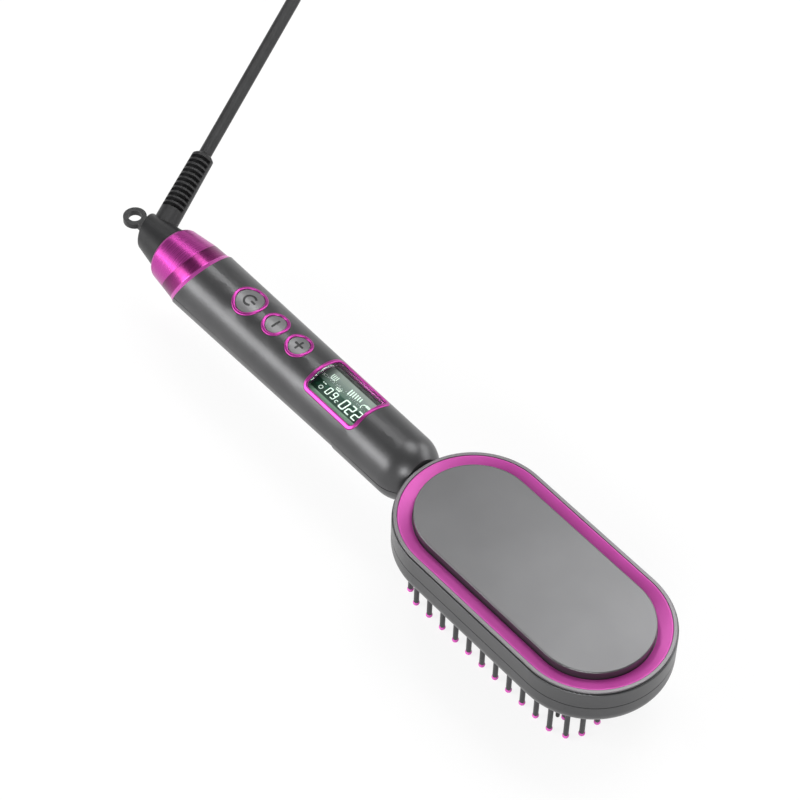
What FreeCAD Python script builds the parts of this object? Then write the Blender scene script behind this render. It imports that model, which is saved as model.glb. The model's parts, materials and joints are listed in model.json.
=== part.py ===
import FreeCAD, Part
import math
import os
import re

import Sketcher
from FreeCAD import Placement, Rotation, Vector

# Electric straightening comb. X runs along the handle towards the head's free end, Y across it and Z up.
# The comb stands on its bristle tips at z = 0, and x = 0, y = 0 is the middle of its length and width.

# driving sizes in millimetres, or in degrees where the name says so
sizes = {
    # gaps and overruns that all pieces share
    "overrun": 2.0,
    "seam_gap": 0.3,
    "fit_gap": 0.1,
    "press_gap": 0.02,
    "running_gap": 0.05,
    # head: one racetrack outline at many radii, stacked upwards from the floor
    "head_straight": 58.2,
    "head_radius": 28.8,
    "head_wall": 2.0,
    "bristle_reach": 18.5,
    "lower_height": 10.2,
    "upper_height": 7.4,
    "bottom_round": 6.0,
    "shoulder_round": 0.4,
    "lip_inset": 0.5,
    "lip_height": 0.9,
    "lip_round": 0.25,
    "groove_depth": 0.5,
    "groove_height": 0.3,
    "rim_inset": 1.75,
    "recess_depth": 2.4,
    "deck_thickness": 1.6,
    "rib_length": 4.0,
    # pink ring and raised plate on the back of the head
    "trim_drop": 0.15,
    "trim_land": 0.5,
    "trim_inner_height": 0.75,
    "trim_round": 0.2,
    "trim_width": 5.55,
    "plate_gap": 0.3,
    "plate_rise": 1.8,
    "plate_round": 0.45,
    # screws that close the head
    "boss_x": 23.9,
    "boss_radius": 2.3,
    "screw_radius": 1.0,
    "screw_head_radius": 1.8,
    "screw_head_height": 1.0,
    "head_screw_length": 10.0,
    # bristles and heating teeth
    "opening_inset": 5.9,
    "base_inset": 0.3,
    "base_lip": 1.3,
    "base_flange": 1.8,
    "pin_radius": 0.95,
    "tip_radius": 1.2,
    "column_pitch": 6.82,
    "row_pitch": 7.1,
    "end_column_x": 42.6,
    "corner_x": 39.8,
    "corner_y": 19.0,
    "tooth_radius": 1.2,
    "tooth_tip_radius": 0.75,
    "tooth_tip_height": 5.4,
    "tooth_seat": 2.0,
    # heater stack on the bristle base
    "heater_inset": 1.9,
    "heater_thickness": 3.0,
    "ptc_length": 36.0,
    "ptc_width": 16.0,
    "ptc_height": 4.0,
    "ptc_spacing": 40.0,
    "mica_thickness": 0.5,
    "clamp_length": 94.0,
    "clamp_width": 14.0,
    "clamp_thickness": 1.0,
    "clamp_screw_x": 43.0,
    "clamp_screw_length": 8.5,
    "sensor_y": 12.0,
    "thermistor_radius": 1.2,
    "thermistor_length": 4.5,
    "fuse_radius": 1.9,
    "fuse_length": 11.0,
    # handle: a tapered tube with a round front end, split at the parting plane
    "axis_rise": 0.7,
    "dome_inset": 8.6,
    "handle_length": 112.05,
    "handle_front_radius": 12.55,
    "handle_rear_radius": 13.2,
    "handle_wall": 2.0,
    "lower_front_radius": 12.3,
    "neck_radius": 12.6,
    "neck_length": 24.5,
    "passage_radius": 3.2,
    "passage_drop": 4.4,
    "tongue_length": 4.0,
    "tongue_wall": 1.2,
    "spigot_radius": 11.2,
    "spigot_wall": 1.6,
    "spigot_length": 7.5,
    "spigot_root": 7.0,
    "handle_boss_radius": 2.6,
    "front_boss_offset": 6.5,
    "rear_boss_offset": 4.1,
    "sink_radius": 2.2,
    "sink_height": 21.0,
    "handle_screw_length": 13.0,
    # buttons: places are measured along the handle from the middle of its round front
    "power_offset": 84.3,
    "minus_offset": 69.8,
    "plus_offset": 56.9,
    "power_ring_radius": 6.7,
    "small_ring_radius": 5.3,
    "ring_bar": 1.25,
    "ring_proud": 0.35,
    "ring_depth": 2.0,
    "ring_round": 0.4,
    "button_gap": 0.15,
    "button_drop": 0.1,
    "button_travel": 0.4,
    "flange_height": 7.5,
    "flange_thickness": 1.0,
    "flange_lip": 0.8,
    "stem_radius": 1.6,
    "switch_side": 6.0,
    "switch_height": 3.4,
    "plunger_radius": 1.7,
    "plunger_gap": 0.2,
    "plunger_rise": 0.9,
    "plunger_seat": 0.5,
    # display
    "display_offset": 30.9,
    "bezel_length": 27.8,
    "bezel_width": 19.2,
    "bezel_bar": 1.5,
    "bezel_corner": 3.0,
    "bezel_proud": 0.3,
    "bezel_depth": 2.2,
    "bezel_round": 0.45,
    "lens_drop": 0.25,
    "lens_thickness": 1.5,
    "lcd_length": 27.4,
    "lcd_width": 14.4,
    "lcd_thickness": 2.0,
    "lcd_setback": 2.35,
    "backlight_thickness": 2.6,
    # control board and what stands on it
    "board_front": 11.5,
    "board_length": 92.0,
    "board_width": 19.0,
    "board_thickness": 1.6,
    "board_rise": 1.0,
    "board_boss_radius": 1.9,
    "board_boss_front": 50.2,
    "board_boss_rear": 94.5,
    "board_screw_length": 6.0,
    "chip_length": 9.0,
    "chip_width": 7.0,
    "chip_thickness": 1.6,
    "chip_offset": 75.0,
    "capacitor_radius": 4.0,
    "capacitor_length": 14.0,
    "capacitor_offset": 67.5,
    "triac_length": 10.0,
    "triac_width": 4.5,
    "triac_height": 8.0,
    "triac_offset": 86.0,
    "wire_radius": 0.8,
    "wire_spread": 2.2,
    # pink collar, with lengths measured along the axis from the end of the handle
    "collar_length": 17.5,
    "collar_slant_share": 0.45,
    "collar_rim_drop": 0.05,
    "collar_band": 1.65,
    "collar_waist_radius": 12.6,
    "collar_step_length": 7.7,
    "collar_cone_radius": 13.04,
    "collar_shoulder_radius": 11.05,
    "collar_nose_length": 1.6,
    "collar_end_radius": 9.3,
    "collar_end_wall": 4.3,
    "collar_cavity_radius": 9.7,
    # swivelling tail cap with its journal, loop and outlet
    "swivel_gap": 0.3,
    "cap_length": 20.0,
    "cap_radius": 9.0,
    "cap_tail_radius": 5.4,
    "cap_back": 5.1,
    "cap_round": 0.4,
    "journal_radius": 6.5,
    "journal_nose_radius": 5.2,
    "journal_nose_length": 5.4,
    "journal_length": 13.6,
    "journal_bore": 3.4,
    "clip_radius": 8.4,
    "clip_groove_radius": 5.6,
    "clip_thickness": 0.9,
    "clip_slot": 4.0,
    "slip_ring_width": 1.8,
    "slip_ring_step": 2.6,
    "slip_ring_edge": 0.4,
    "inner_slip_radius": 6.0,
    "outer_slip_radius": 6.8,
    "carrier_start": -0.9,
    "carrier_thickness": 4.0,
    "carrier_bore": 3.0,
    "spring_thickness": 0.4,
    "spring_width": 2.4,
    "loop_radius": 4.4,
    "loop_bore": 2.55,
    "loop_thickness": 2.3,
    "loop_offset": 13.1,
    "loop_neck": 4.0,
    "outlet_offset": 8.95,
    "outlet_flat": 5.4,
    "outlet_turn_degrees": 65.9,
    "outlet_rise_degrees": 12.0,
    # ribbed strain relief along the outlet
    "boot_length": 33.4,
    "boot_root": 4.3,
    "boot_root_radius": 4.0,
    "boot_base_radius": 4.6,
    "boot_base_length": 6.9,
    "boot_tip_radius": 4.3,
    "boot_tip_length": 1.4,
    "boot_tip_round": 1.0,
    "boot_core_radius": 3.1,
    "boot_slot_width": 1.5,
    "boot_web": 2.8,
    # mains cord, its coil and its plug
    "cord_radius": 2.5,
    "cord_straight": 140.0,
    "coil_radius": 40.0,
    "coil_pitch": 5.6,
    "coil_height": 3.4,
    "coil_exit_level": 8.0,
    "coil_exit_run": 28.0,
    "tie_thickness": 0.6,
    "tie_gap": 0.3,
    "tie_width": 6.0,
    "tie_turn_degrees": 300,
    "plug_height": 13.7,
    "plug_width": 26.0,
    "plug_length": 28.0,
    "plug_corner": 5.0,
    "plug_tail_length": 18.0,
    "plug_tail_radius": 5.2,
    "plug_tail_tip_radius": 3.8,
    "plug_pin_radius": 2.0,
    "plug_pin_length": 19.0,
    "plug_pin_seat": 5.0,
    "plug_pin_spacing": 18.6,
    "plug_pin_round": 1.0,
}

# places worked out from the sizes
places = {
    "head_reach": "head_straight / 2 + head_radius",
    "lip_radius": "head_radius - lip_inset",
    "rim_radius": "head_radius - rim_inset",
    "plate_radius": "rim_radius - trim_width",
    "opening_radius": "head_radius - opening_inset",
    "base_radius": "opening_radius + base_lip",
    "heater_radius": "opening_radius - heater_inset",
    "boss_y": "head_radius - head_wall - boss_radius - seam_gap",
    "tail_run": "collar_length + swivel_gap + outlet_offset + loop_offset + loop_radius",
    "tail_reach": "head_reach + dome_inset + handle_length + tail_run",
    "head_x": "(tail_reach - head_reach) / 2",
    "parting_z": "bristle_reach + lower_height",
    "upper_z": "parting_z + seam_gap",
    "shoulder_z": "parting_z + upper_height",
    "rim_z": "shoulder_z + lip_height",
    "deck_z": "rim_z - recess_depth",
    "deck_under_z": "deck_z - deck_thickness",
    "plate_z": "rim_z + plate_rise",
    "shell_floor_z": "bristle_reach + head_wall",
    "base_top_z": "shell_floor_z + base_flange",
    "heater_top_z": "base_top_z + heater_thickness",
    "ptc_top_z": "heater_top_z + ptc_height",
    "clamp_z": "ptc_top_z + mica_thickness",
    "clamp_top_z": "clamp_z + clamp_thickness",
    "axis_z": "parting_z + axis_rise",
    "dome_x": "head_x - head_reach - dome_inset",
    "joint_x": "dome_x - neck_length",
    "collar_x": "dome_x - handle_length",
    "cap_x": "collar_x - collar_length - swivel_gap",
    "outlet_x": "cap_x - outlet_offset",
    "loop_x": "outlet_x - loop_offset",
    "board_z": "axis_z + board_rise",
    "board_top_z": "board_z + board_thickness",
    "board_front_x": "dome_x - board_front",
    "board_rear_x": "board_front_x - board_length",
    "display_x": "dome_x - display_offset",
    "switch_top_z": "board_top_z + switch_height",
    "plunger_top_z": "switch_top_z + plunger_rise",
    "flange_z": "axis_z + flange_height",
    "flange_top_z": "flange_z + flange_thickness",
    "spigot_bore": "spigot_radius - spigot_wall",
    "slant_reach": "handle_rear_radius * collar_slant_share",
    "collar_wall_start": "collar_length - collar_end_wall",
    "clip_start": "collar_wall_start - swivel_gap - clip_thickness",
    "carrier_end": "carrier_start + carrier_thickness",
    "nose_tip": "collar_length + swivel_gap - journal_length",
    "inner_slip_start": "nose_tip + slip_ring_edge",
    "outer_slip_start": "inner_slip_start + slip_ring_step",
}

doc = FreeCAD.newDocument("StraighteningComb")


def make_sheet(name, cells):
    sheet = doc.addObject("Spreadsheet::Sheet", name)
    for row, (alias, content) in enumerate(cells.items(), 1):
        sheet.set(f"A{row}", alias)
        sheet.set(f"B{row}", content)
        sheet.setAlias(f"B{row}", alias)
    return sheet


def with_sheet(text, names, sheet):
    return re.sub(r"\b[a-z]\w*\b", lambda word: f"{sheet}.{word[0]}" if word[0] in names else word[0], text)


size_sheet = make_sheet("Sizes", {alias: str(number) for alias, number in sizes.items()})
place_cells = {alias: "=" + with_sheet(text, sizes, "Sizes") for alias, text in places.items()}
place_sheet = make_sheet("Places", place_cells)
doc.recompute()


def bound(text):
    return with_sheet(with_sheet(text, sizes, "Sizes"), places, "Places")


def value(text):
    return float(place_sheet.evalExpression(bound(text)))


def bind(thing, **properties):
    for name, text in properties.items():
        thing.setExpression(name, bound(text))


# ways that a primitive's own Z axis, or a turned piece's own X axis, can point
upright = Rotation()
tailward = Rotation(Vector(0, 1, 0), -90)
headward = Rotation(Vector(0, 1, 0), 90)
turned_up = Rotation(Vector(0, 1, 0), -90)
turned_down = Rotation(Vector(0, 1, 0), 90)
turned_tailward = Rotation(Vector(0, 0, 1), 180)


def put(thing, at, way=upright):
    thing.Placement = Placement(Vector(), way)
    for axis, text in zip("xyz", at):
        thing.setExpression(f"Placement.Base.{axis}", bound(text))
    return thing


def box(name, length, width, height, at):
    thing = doc.addObject("Part::Box", name)
    bind(thing, Length=length, Width=width, Height=height)
    return put(thing, at)


def middle_box(name, length, width, height, at):
    x, y, z = at
    return box(name, length, width, height, (f"{x} - ({length}) / 2", f"{y} - ({width}) / 2", z))


def rod(name, radius, length, at, way=upright):
    thing = doc.addObject("Part::Cylinder", name)
    bind(thing, Radius=radius, Height=length)
    return put(thing, at, way)


def cone(name, first_radius, last_radius, length, at, way=upright):
    thing = doc.addObject("Part::Cone", name)
    bind(thing, Radius1=first_radius, Radius2=last_radius, Height=length)
    return put(thing, at, way)


def ball(name, radius, at):
    thing = doc.addObject("Part::Sphere", name)
    bind(thing, Radius=radius)
    return put(thing, at)


def join(name, *pieces):
    thing = doc.addObject("Part::MultiFuse", name)
    thing.Shapes = list(pieces)
    thing.Refine = True
    return thing


def overlap(name, *pieces):
    thing = doc.addObject("Part::MultiCommon", name)
    thing.Shapes = list(pieces)
    thing.Refine = True
    return thing


def cut(name, base, *tools):
    thing = doc.addObject("Part::Cut", name)
    thing.Base = base
    thing.Tool = tools[0] if len(tools) == 1 else join(name + "_tools", *tools)
    thing.Refine = True
    return thing


def plane_of(body, role):
    return next(feature for feature in body.Origin.OriginFeatures if feature.Role == role)


def new_sketch(body, name):
    sketch = body.newObject("Sketcher::SketchObject", name)
    sketch.AttachmentSupport = [(plane_of(body, "XY_Plane"), "")]
    sketch.MapMode = "FlatFace"
    return sketch


def racetrack_sketch(body, name, radius):
    sketch = new_sketch(body, name)
    half, reach = value("head_straight / 2"), value(radius)
    corner = [Vector(-half, -reach, 0), Vector(half, -reach, 0), Vector(half, reach, 0),
              Vector(-half, reach, 0)]
    up, quarter = Vector(0, 0, 1), math.pi / 2
    sketch.addGeometry(Part.LineSegment(corner[0], corner[1]))
    sketch.addGeometry(Part.ArcOfCircle(Part.Circle(Vector(half, 0, 0), up, reach), -quarter, quarter))
    sketch.addGeometry(Part.LineSegment(corner[2], corner[3]))
    sketch.addGeometry(Part.ArcOfCircle(Part.Circle(Vector(-half, 0, 0), up, reach), quarter, 3 * quarter))
    for edge in range(4):
        sketch.addConstraint(Sketcher.Constraint("Tangent", edge, 2, (edge + 1) % 4, 1))
    sketch.addConstraint(Sketcher.Constraint("Symmetric", 1, 3, 3, 3, -1, 1))
    sketch.addConstraint(Sketcher.Constraint("PointOnObject", 1, 3, -1))
    sketch.addConstraint(Sketcher.Constraint("Equal", 1, 3))
    across = sketch.addConstraint(Sketcher.Constraint("Radius", 1, reach))
    along = sketch.addConstraint(Sketcher.Constraint("DistanceX", 3, 3, 1, 3, 2 * half))
    sketch.setExpression(f"Constraints[{across}]", bound(radius))
    sketch.setExpression(f"Constraints[{along}]", bound("head_straight"))
    return sketch


def level_edges(feature, level):
    names = []
    for index, edge in enumerate(feature.Shape.Edges, 1):
        bounds = edge.BoundBox
        if abs(bounds.ZMin - level) + abs(bounds.ZMax - level) < Part.Precision.confusion() * 10:
            names.append(f"Edge{index}")
    return names


def upright_edges(feature):
    lines = enumerate(feature.Shape.Edges, 1)
    return [f"Edge{index}" for index, edge in lines if edge.BoundBox.ZLength > edge.Length / 2]


def round_edges(body, feature, names, radius):
    fillet = body.newObject("PartDesign::Fillet", body.Name + "_round")
    fillet.Base = (feature, names)
    bind(fillet, Radius=radius)
    doc.recompute()
    return fillet


def racetrack(name, radius, floor, height, top_radius=None, round_bottom=None, round_top=None):
    body = doc.addObject("PartDesign::Body", name)
    outline = racetrack_sketch(body, name + "_outline", radius)
    if top_radius:
        top = racetrack_sketch(body, name + "_top", top_radius)
        top.setExpression("AttachmentOffset.Base.z", bound(height))
        feature = body.newObject("PartDesign::AdditiveLoft", name + "_loft")
        feature.Profile = outline
        feature.Sections = [top]
        feature.Ruled = True
    else:
        feature = body.newObject("PartDesign::Pad", name + "_pad")
        feature.Profile = outline
        bind(feature, Length=height)
    doc.recompute()
    if round_bottom:
        feature = round_edges(body, feature, level_edges(feature, 0), round_bottom)
    if round_top:
        feature = round_edges(body, feature, level_edges(feature, value(height)), round_top)
    return put(body, ("head_x", "0", floor))


def polygon(sketch, points):
    corners = [Vector(value(along), value(across), 0) for along, across in points]
    count = len(corners)
    for index, corner in enumerate(corners):
        sketch.addGeometry(Part.LineSegment(corner, corners[(index + 1) % count]))
    for index in range(count):
        sketch.addConstraint(Sketcher.Constraint("Coincident", index, 2, (index + 1) % count, 1))
    for index, (along, across) in enumerate(points):
        corner = corners[index]
        for kind, text, number, axis in (("DistanceX", along, corner.x, -2),
                                         ("DistanceY", across, corner.y, -1)):
            if text == "0":
                sketch.addConstraint(Sketcher.Constraint("PointOnObject", index, 1, axis))
            else:
                place = sketch.addConstraint(Sketcher.Constraint(kind, -1, 1, index, 1, number))
                sketch.setExpression(f"Constraints[{place}]", bound(text))


def turned(name, points, at, way):
    body = doc.addObject("PartDesign::Body", name)
    sketch = new_sketch(body, name + "_profile")
    polygon(sketch, points)
    feature = body.newObject("PartDesign::Revolution", name + "_turn")
    feature.Profile = sketch
    feature.ReferenceAxis = (sketch, ["H_Axis"])
    feature.Angle = 360
    return put(body, at, way)


def slab(name, length, width, height, corner, at):
    body = doc.addObject("PartDesign::Body", name)
    sketch = new_sketch(body, name + "_outline")
    polygon(sketch, [("0", "0"), (length, "0"), (length, width), ("0", width)])
    feature = body.newObject("PartDesign::Pad", name + "_pad")
    feature.Profile = sketch
    bind(feature, Length=height)
    doc.recompute()
    round_edges(body, feature, upright_edges(feature), corner)
    x, y, z = at
    return put(body, (f"{x} - ({length}) / 2", f"{y} - ({width}) / 2", z))


def feature_of(name, shape):
    thing = doc.addObject("Part::Feature", name)
    thing.Shape = shape
    return thing


def group(name, pattern, spots):
    doc.recompute()
    copies = []
    for spot in spots:
        copy = pattern.Shape.Solids[0].copy()
        copy.translate(spot)
        copies.append(copy)
    return feature_of(name, Part.makeCompound(copies))


def screw_profile(length):
    return [
        ("0", "0"), ("0", "screw_head_radius"), ("screw_head_height", "screw_head_radius"),
        ("screw_head_height", "screw_radius"), (length, "screw_radius"), (length, "0"),
    ]


nodes = {}

# head: upper shell with rim, deck and screw holes
boss_spots = [
    Vector(value("head_x") + along * value("boss_x"), across * value("boss_y"), 0)
    for along in (-1, 1) for across in (-1, 1)
]
head_screw = turned("head_screw", screw_profile("head_screw_length"), ("0", "0", "deck_z"), turned_down)
head_screws = group("head_screws", head_screw, boss_spots)
screw_hole = rod("deck_hole", "screw_radius + fit_gap", "deck_thickness + overrun * 2",
                 ("0", "0", "deck_under_z - overrun"))
screw_sink = rod("deck_sink", "screw_head_radius + fit_gap", "screw_head_height + overrun",
                 ("0", "0", "deck_z - screw_head_height"))
deck_holes = group("deck_holes", screw_hole, boss_spots)
deck_sinks = group("deck_sinks", screw_sink, boss_spots)

upper_side = racetrack("upper_side", "head_radius", "upper_z", "upper_height - seam_gap",
                       round_top="shoulder_round")
upper_lip = racetrack("upper_lip", "lip_radius", "upper_z", "upper_height - seam_gap + lip_height",
                      round_top="lip_round")
upper_recess = racetrack("upper_recess", "rim_radius", "deck_z", "recess_depth + overrun")
upper_hollow = racetrack("upper_hollow", "head_radius - head_wall", "upper_z - overrun",
                         "deck_under_z - upper_z + overrun")
groove_outside = racetrack("groove_outside", "head_radius + overrun", "shoulder_z", "groove_height")
groove_inside = racetrack("groove_inside", "lip_radius - groove_depth", "shoulder_z - overrun",
                          "groove_height + overrun * 2")
rim_groove = cut("rim_groove", groove_outside, groove_inside)
deck_ribs = [
    middle_box(f"deck_rib_{side}", "rib_length", "clamp_width", "deck_z - clamp_top_z - fit_gap",
               (f"head_x {sign} ptc_spacing / 2", "0", "clamp_top_z + fit_gap"))
    for side, sign in (("front", "+"), ("rear", "-"))
]
upper_solid = join("upper_solid", upper_side, upper_lip)
upper_shell = cut("upper_shell", upper_solid, upper_recess, upper_hollow, rim_groove)
upper_ribbed = join("upper_ribbed", upper_shell, *deck_ribs)
nodes["head_upper_shell"] = cut("upper_drilled", upper_ribbed, upper_recess, deck_holes, deck_sinks)
nodes["head_screws"] = head_screws

# pink ring: its face slopes down from the rim to the plate
trim_outer = racetrack("trim_outer", "rim_radius - fit_gap", "deck_z", "recess_depth - trim_drop",
                       round_top="trim_round")
trim_slope = racetrack("trim_slope", "plate_radius + plate_gap", "deck_z + trim_inner_height",
                       "recess_depth - trim_drop - trim_inner_height",
                       top_radius="rim_radius - fit_gap - trim_land")
trim_inner = racetrack("trim_inner", "plate_radius + plate_gap", "deck_z - overrun",
                       "recess_depth + overrun * 2")
nodes["head_trim_ring"] = cut("trim_ring", trim_outer, trim_slope, trim_inner)
nodes["head_back_plate"] = racetrack("back_plate", "plate_radius", "deck_z", "recess_depth + plate_rise",
                                     round_top="plate_round")

# handle solids that several pieces share
passage_z = "axis_z - passage_drop"


def skin(name, offset):
    return cone(name, f"handle_front_radius + ({offset})", f"handle_rear_radius + ({offset})",
                "handle_length",
                ("dome_x", "0", "axis_z"), tailward)


handle_skin = skin("handle_skin", "0")
handle_dome = ball("handle_dome", "handle_front_radius", ("dome_x", "0", "axis_z"))
spigot = rod("spigot", "spigot_radius", "spigot_root + spigot_length",
             ("collar_x + spigot_root", "0", "axis_z"), tailward)
rear_skin = rod("rear_skin", "handle_rear_radius", "slant_reach", ("collar_x", "0", "axis_z"), tailward)
spigot_hole = rod("spigot_hole", "spigot_bore", "spigot_root + spigot_length + overrun * 2",
                  ("collar_x + spigot_root + overrun", "0", "axis_z"), tailward)
handle_hollow = cone("handle_hollow", "handle_front_radius - handle_wall", "handle_rear_radius - handle_wall",
                     "handle_length - spigot_root", ("dome_x", "0", "axis_z"), tailward)
dome_hollow = ball("dome_hollow", "handle_front_radius - handle_wall", ("dome_x", "0", "axis_z"))
block_length = "handle_length + spigot_length + head_radius + overrun"
block_width = "(head_radius + overrun) * 2"
block_start = "collar_x - spigot_length - overrun"
below_upper = box("below_upper", block_length, block_width, "upper_z + overrun",
                  (block_start, "-head_radius - overrun", "-overrun"))
above_lower = box("above_lower", block_length, block_width, "plate_z + overrun",
                  (block_start, "-head_radius - overrun", "parting_z"))


# the collar meets the handle on a slanted plane: its steepest line and the way out of it to the tail
slant = value("collar_slant_share")
slant_line = Vector(slant, 0, 1).normalize()
slant_out = Vector(-1, 0, slant).normalize()


def slant_middle(setback):
    return Vector(value(f"collar_x - ({setback})"), 0, value("axis_z"))


# a block that fills one side of the slanted plane, set back from the collar's front
def slanted_block(name, setback, way):
    thing = doc.addObject("Part::Box", name)
    reach = "handle_rear_radius * 2"
    bind(thing, Length=reach, Width=f"{reach} * 2", Height=f"{reach} * 2")
    across = slant_line.cross(way)
    corner = slant_middle(setback) - (slant_line + across) * value(reach)
    thing.Placement = Placement(corner, Rotation(way, across, slant_line, "XYZ"))
    return thing


behind_handle = slanted_block("behind_handle", "0", slant_out)

# screws that close the handle: one in the neck, one before the collar
front_boss_x = "dome_x - front_boss_offset"
rear_boss_x = "collar_x + rear_boss_offset"
handle_screw = turned("handle_screw", screw_profile("handle_screw_length"),
                      ("0", "0", "sink_height - screw_head_height"), turned_up)
handle_spots = [Vector(value(place), 0, 0) for place in (front_boss_x, rear_boss_x)]
nodes["handle_screws"] = group("handle_screws", handle_screw, handle_spots)


def lower_boss(name, place):
    return rod(name, "handle_boss_radius", "parting_z - bristle_reach", (place, "0", "bristle_reach"))


def boss_drill(name, place):
    hole = rod(name + "_hole", "screw_radius + fit_gap", "parting_z", (place, "0", "overrun"))
    sink = rod(name + "_sink", "sink_radius", "sink_height", (place, "0", "0"))
    return join(name, hole, sink)


# head: lower shell with the neck trough
lower_side = racetrack("lower_side", "head_radius", "bristle_reach", "lower_height",
                       round_bottom="bottom_round")
lower_hollow = racetrack("lower_hollow", "head_radius - head_wall", "shell_floor_z", "lower_height",
                         round_bottom="bottom_round - head_wall")
lower_opening = racetrack("lower_opening", "opening_radius", "bristle_reach - overrun",
                          "head_wall + overrun * 2")
neck_tube = rod("neck_tube", "neck_radius", "neck_length", ("joint_x", "0", "axis_z"), headward)
neck_ball = ball("neck_ball", "neck_radius", ("dome_x", "0", "axis_z"))
neck_hollow = rod("neck_hollow", "neck_radius - handle_wall", "neck_length + overrun",
                  ("joint_x - overrun", "0", "axis_z"), headward)
neck_ball_hollow = ball("neck_ball_hollow", "neck_radius - handle_wall", ("dome_x", "0", "axis_z"))
passage = rod("passage", "passage_radius", "dome_inset + head_wall + overrun", ("dome_x", "0", passage_z),
              headward)
lower_solid = join("lower_solid", lower_side, neck_tube, neck_ball)
lower_shell = cut("lower_shell", lower_solid, lower_hollow, lower_opening, neck_hollow, neck_ball_hollow,
                  above_lower)
wall_boss = rod("wall_boss", "boss_radius", "deck_under_z - fit_gap - shell_floor_z",
                ("0", "0", "shell_floor_z"))
wall_bosses = group("wall_bosses", wall_boss, boss_spots)
boss_hole = rod("boss_hole", "screw_radius", "deck_z - shell_floor_z",
                ("0", "0", "shell_floor_z + screw_head_height"))
boss_holes = group("boss_holes", boss_hole, boss_spots)
neck_boss_rod = lower_boss("neck_boss_rod", front_boss_x)
neck_boss = overlap("neck_boss", neck_boss_rod, neck_tube)
lower_bossed = join("lower_bossed", lower_shell, wall_bosses, neck_boss)
nodes["head_lower_shell"] = cut("lower_drilled", lower_bossed, boss_holes,
                                boss_drill("neck_drill", front_boss_x), passage)

# bristle base with a hole for each pin and each tooth
row_steps, column_steps = range(-3, 4), range(-5, 6)
bristle_spots = [
    Vector(value("head_x") + column * value("column_pitch"), row * value("row_pitch"), 0)
    for row in row_steps for column in column_steps
]
bristle_spots += [
    Vector(value("head_x") + side * value("end_column_x"), row * value("row_pitch"), 0)
    for row in row_steps[1:-1] for side in (-1, 1)
]
bristle_spots += [
    Vector(value("head_x") + side * value("corner_x"), across * value("corner_y"), 0)
    for side in (-1, 1) for across in (-1, 1)
]
tooth_spots = [
    Vector(value("head_x") + column * value("column_pitch"), (row + 0.5) * value("row_pitch"), 0)
    for row in row_steps[:-1] for column in column_steps
]


# the spots that lie inside a racetrack of this radius round the head's middle
def inside(spots, radius):
    half, middle, reach = value("head_straight / 2"), value("head_x"), value(radius)
    return [spot for spot in spots if math.hypot(max(abs(spot.x - middle) - half, 0), spot.y) < reach]


bristle_spots = inside(bristle_spots, "opening_radius - pin_radius")
tooth_spots = inside(tooth_spots, "heater_radius - tooth_radius")
pin = rod("pin", "pin_radius", "base_top_z - tip_radius", ("0", "0", "tip_radius"))
pin_hole = rod("pin_hole", "pin_radius + press_gap", "base_top_z + overrun", ("0", "0", "tip_radius"))
tip_ball = ball("tip_ball", "tip_radius", ("0", "0", "tip_radius"))
tip = cut("tip", tip_ball, pin)
tooth_foot = rod("tooth_foot", "tooth_radius", "base_top_z + tooth_seat - bristle_reach",
                 ("0", "0", "bristle_reach"))
tooth_taper = cone("tooth_taper", "tooth_tip_radius", "tooth_radius", "bristle_reach - tooth_tip_height",
                   ("0", "0", "tooth_tip_height"))
tooth_nose = ball("tooth_nose", "tooth_tip_radius", ("0", "0", "tooth_tip_height"))
tooth = join("tooth", tooth_foot, tooth_taper, tooth_nose)
tooth_hole = rod("tooth_hole", "tooth_radius + fit_gap", "base_top_z", ("0", "0", "tooth_tip_height"))
tooth_socket = rod("tooth_socket", "tooth_radius + press_gap", "tooth_seat + overrun",
                   ("0", "0", "base_top_z - overrun"))
nodes["bristle_pins"] = group("bristle_pins", pin, bristle_spots)
nodes["bristle_tips"] = group("bristle_tips", tip, bristle_spots)
nodes["heating_teeth"] = group("heating_teeth", tooth, tooth_spots)

base_plate = racetrack("base_plate", "base_radius", "shell_floor_z", "base_flange")
base_plug = racetrack("base_plug", "opening_radius - fit_gap", "bristle_reach + base_inset", "head_wall")
base_solid = join("base_solid", base_plate, base_plug)
boss_notch = rod("boss_notch", "boss_radius + fit_gap", "base_flange + overrun", ("0", "0", "shell_floor_z"))
base_notches = group("base_notches", boss_notch, boss_spots)
pin_holes = group("pin_holes", pin_hole, bristle_spots)
tooth_holes = group("tooth_holes", tooth_hole, tooth_spots)
base_fillet_clear = cut("base_trimmed", base_solid, base_notches)
base_seated = overlap("base_seated", base_fillet_clear, join("base_room", lower_hollow, lower_opening))
nodes["bristle_base"] = cut("base_drilled", cut("base_pinned", base_seated, pin_holes), tooth_holes)

# heater stack
heater_blank = racetrack("heater_blank", "heater_radius", "base_top_z", "heater_thickness")
tooth_sockets = group("tooth_sockets", tooth_socket, tooth_spots)
clamp_spots = [Vector(value("head_x") + side * value("clamp_screw_x"), 0, 0) for side in (-1, 1)]
clamp_screw = turned("clamp_screw", screw_profile("clamp_screw_length"),
                     ("0", "0", "clamp_top_z + screw_head_height"), turned_down)
clamp_hole = rod("clamp_hole", "screw_radius + press_gap", "clamp_screw_length + overrun",
                 ("0", "0", "clamp_top_z + screw_head_height - clamp_screw_length"))
clamp_holes = group("clamp_holes", clamp_hole, clamp_spots)
nodes["heater_plate"] = cut("heater_plate", heater_blank, tooth_sockets, clamp_holes)
ptc = middle_box("ptc", "ptc_length", "ptc_width", "ptc_height", ("0", "0", "heater_top_z"))
ptc_spots = [Vector(value("head_x") + side * value("ptc_spacing") / 2, 0, 0) for side in (-1, 1)]
nodes["ptc_heaters"] = group("ptc_heaters", ptc, ptc_spots)
nodes["mica_sheet"] = middle_box("mica_sheet", "ptc_spacing + ptc_length", "ptc_width", "mica_thickness",
                                 ("head_x", "0", "ptc_top_z"))
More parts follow.
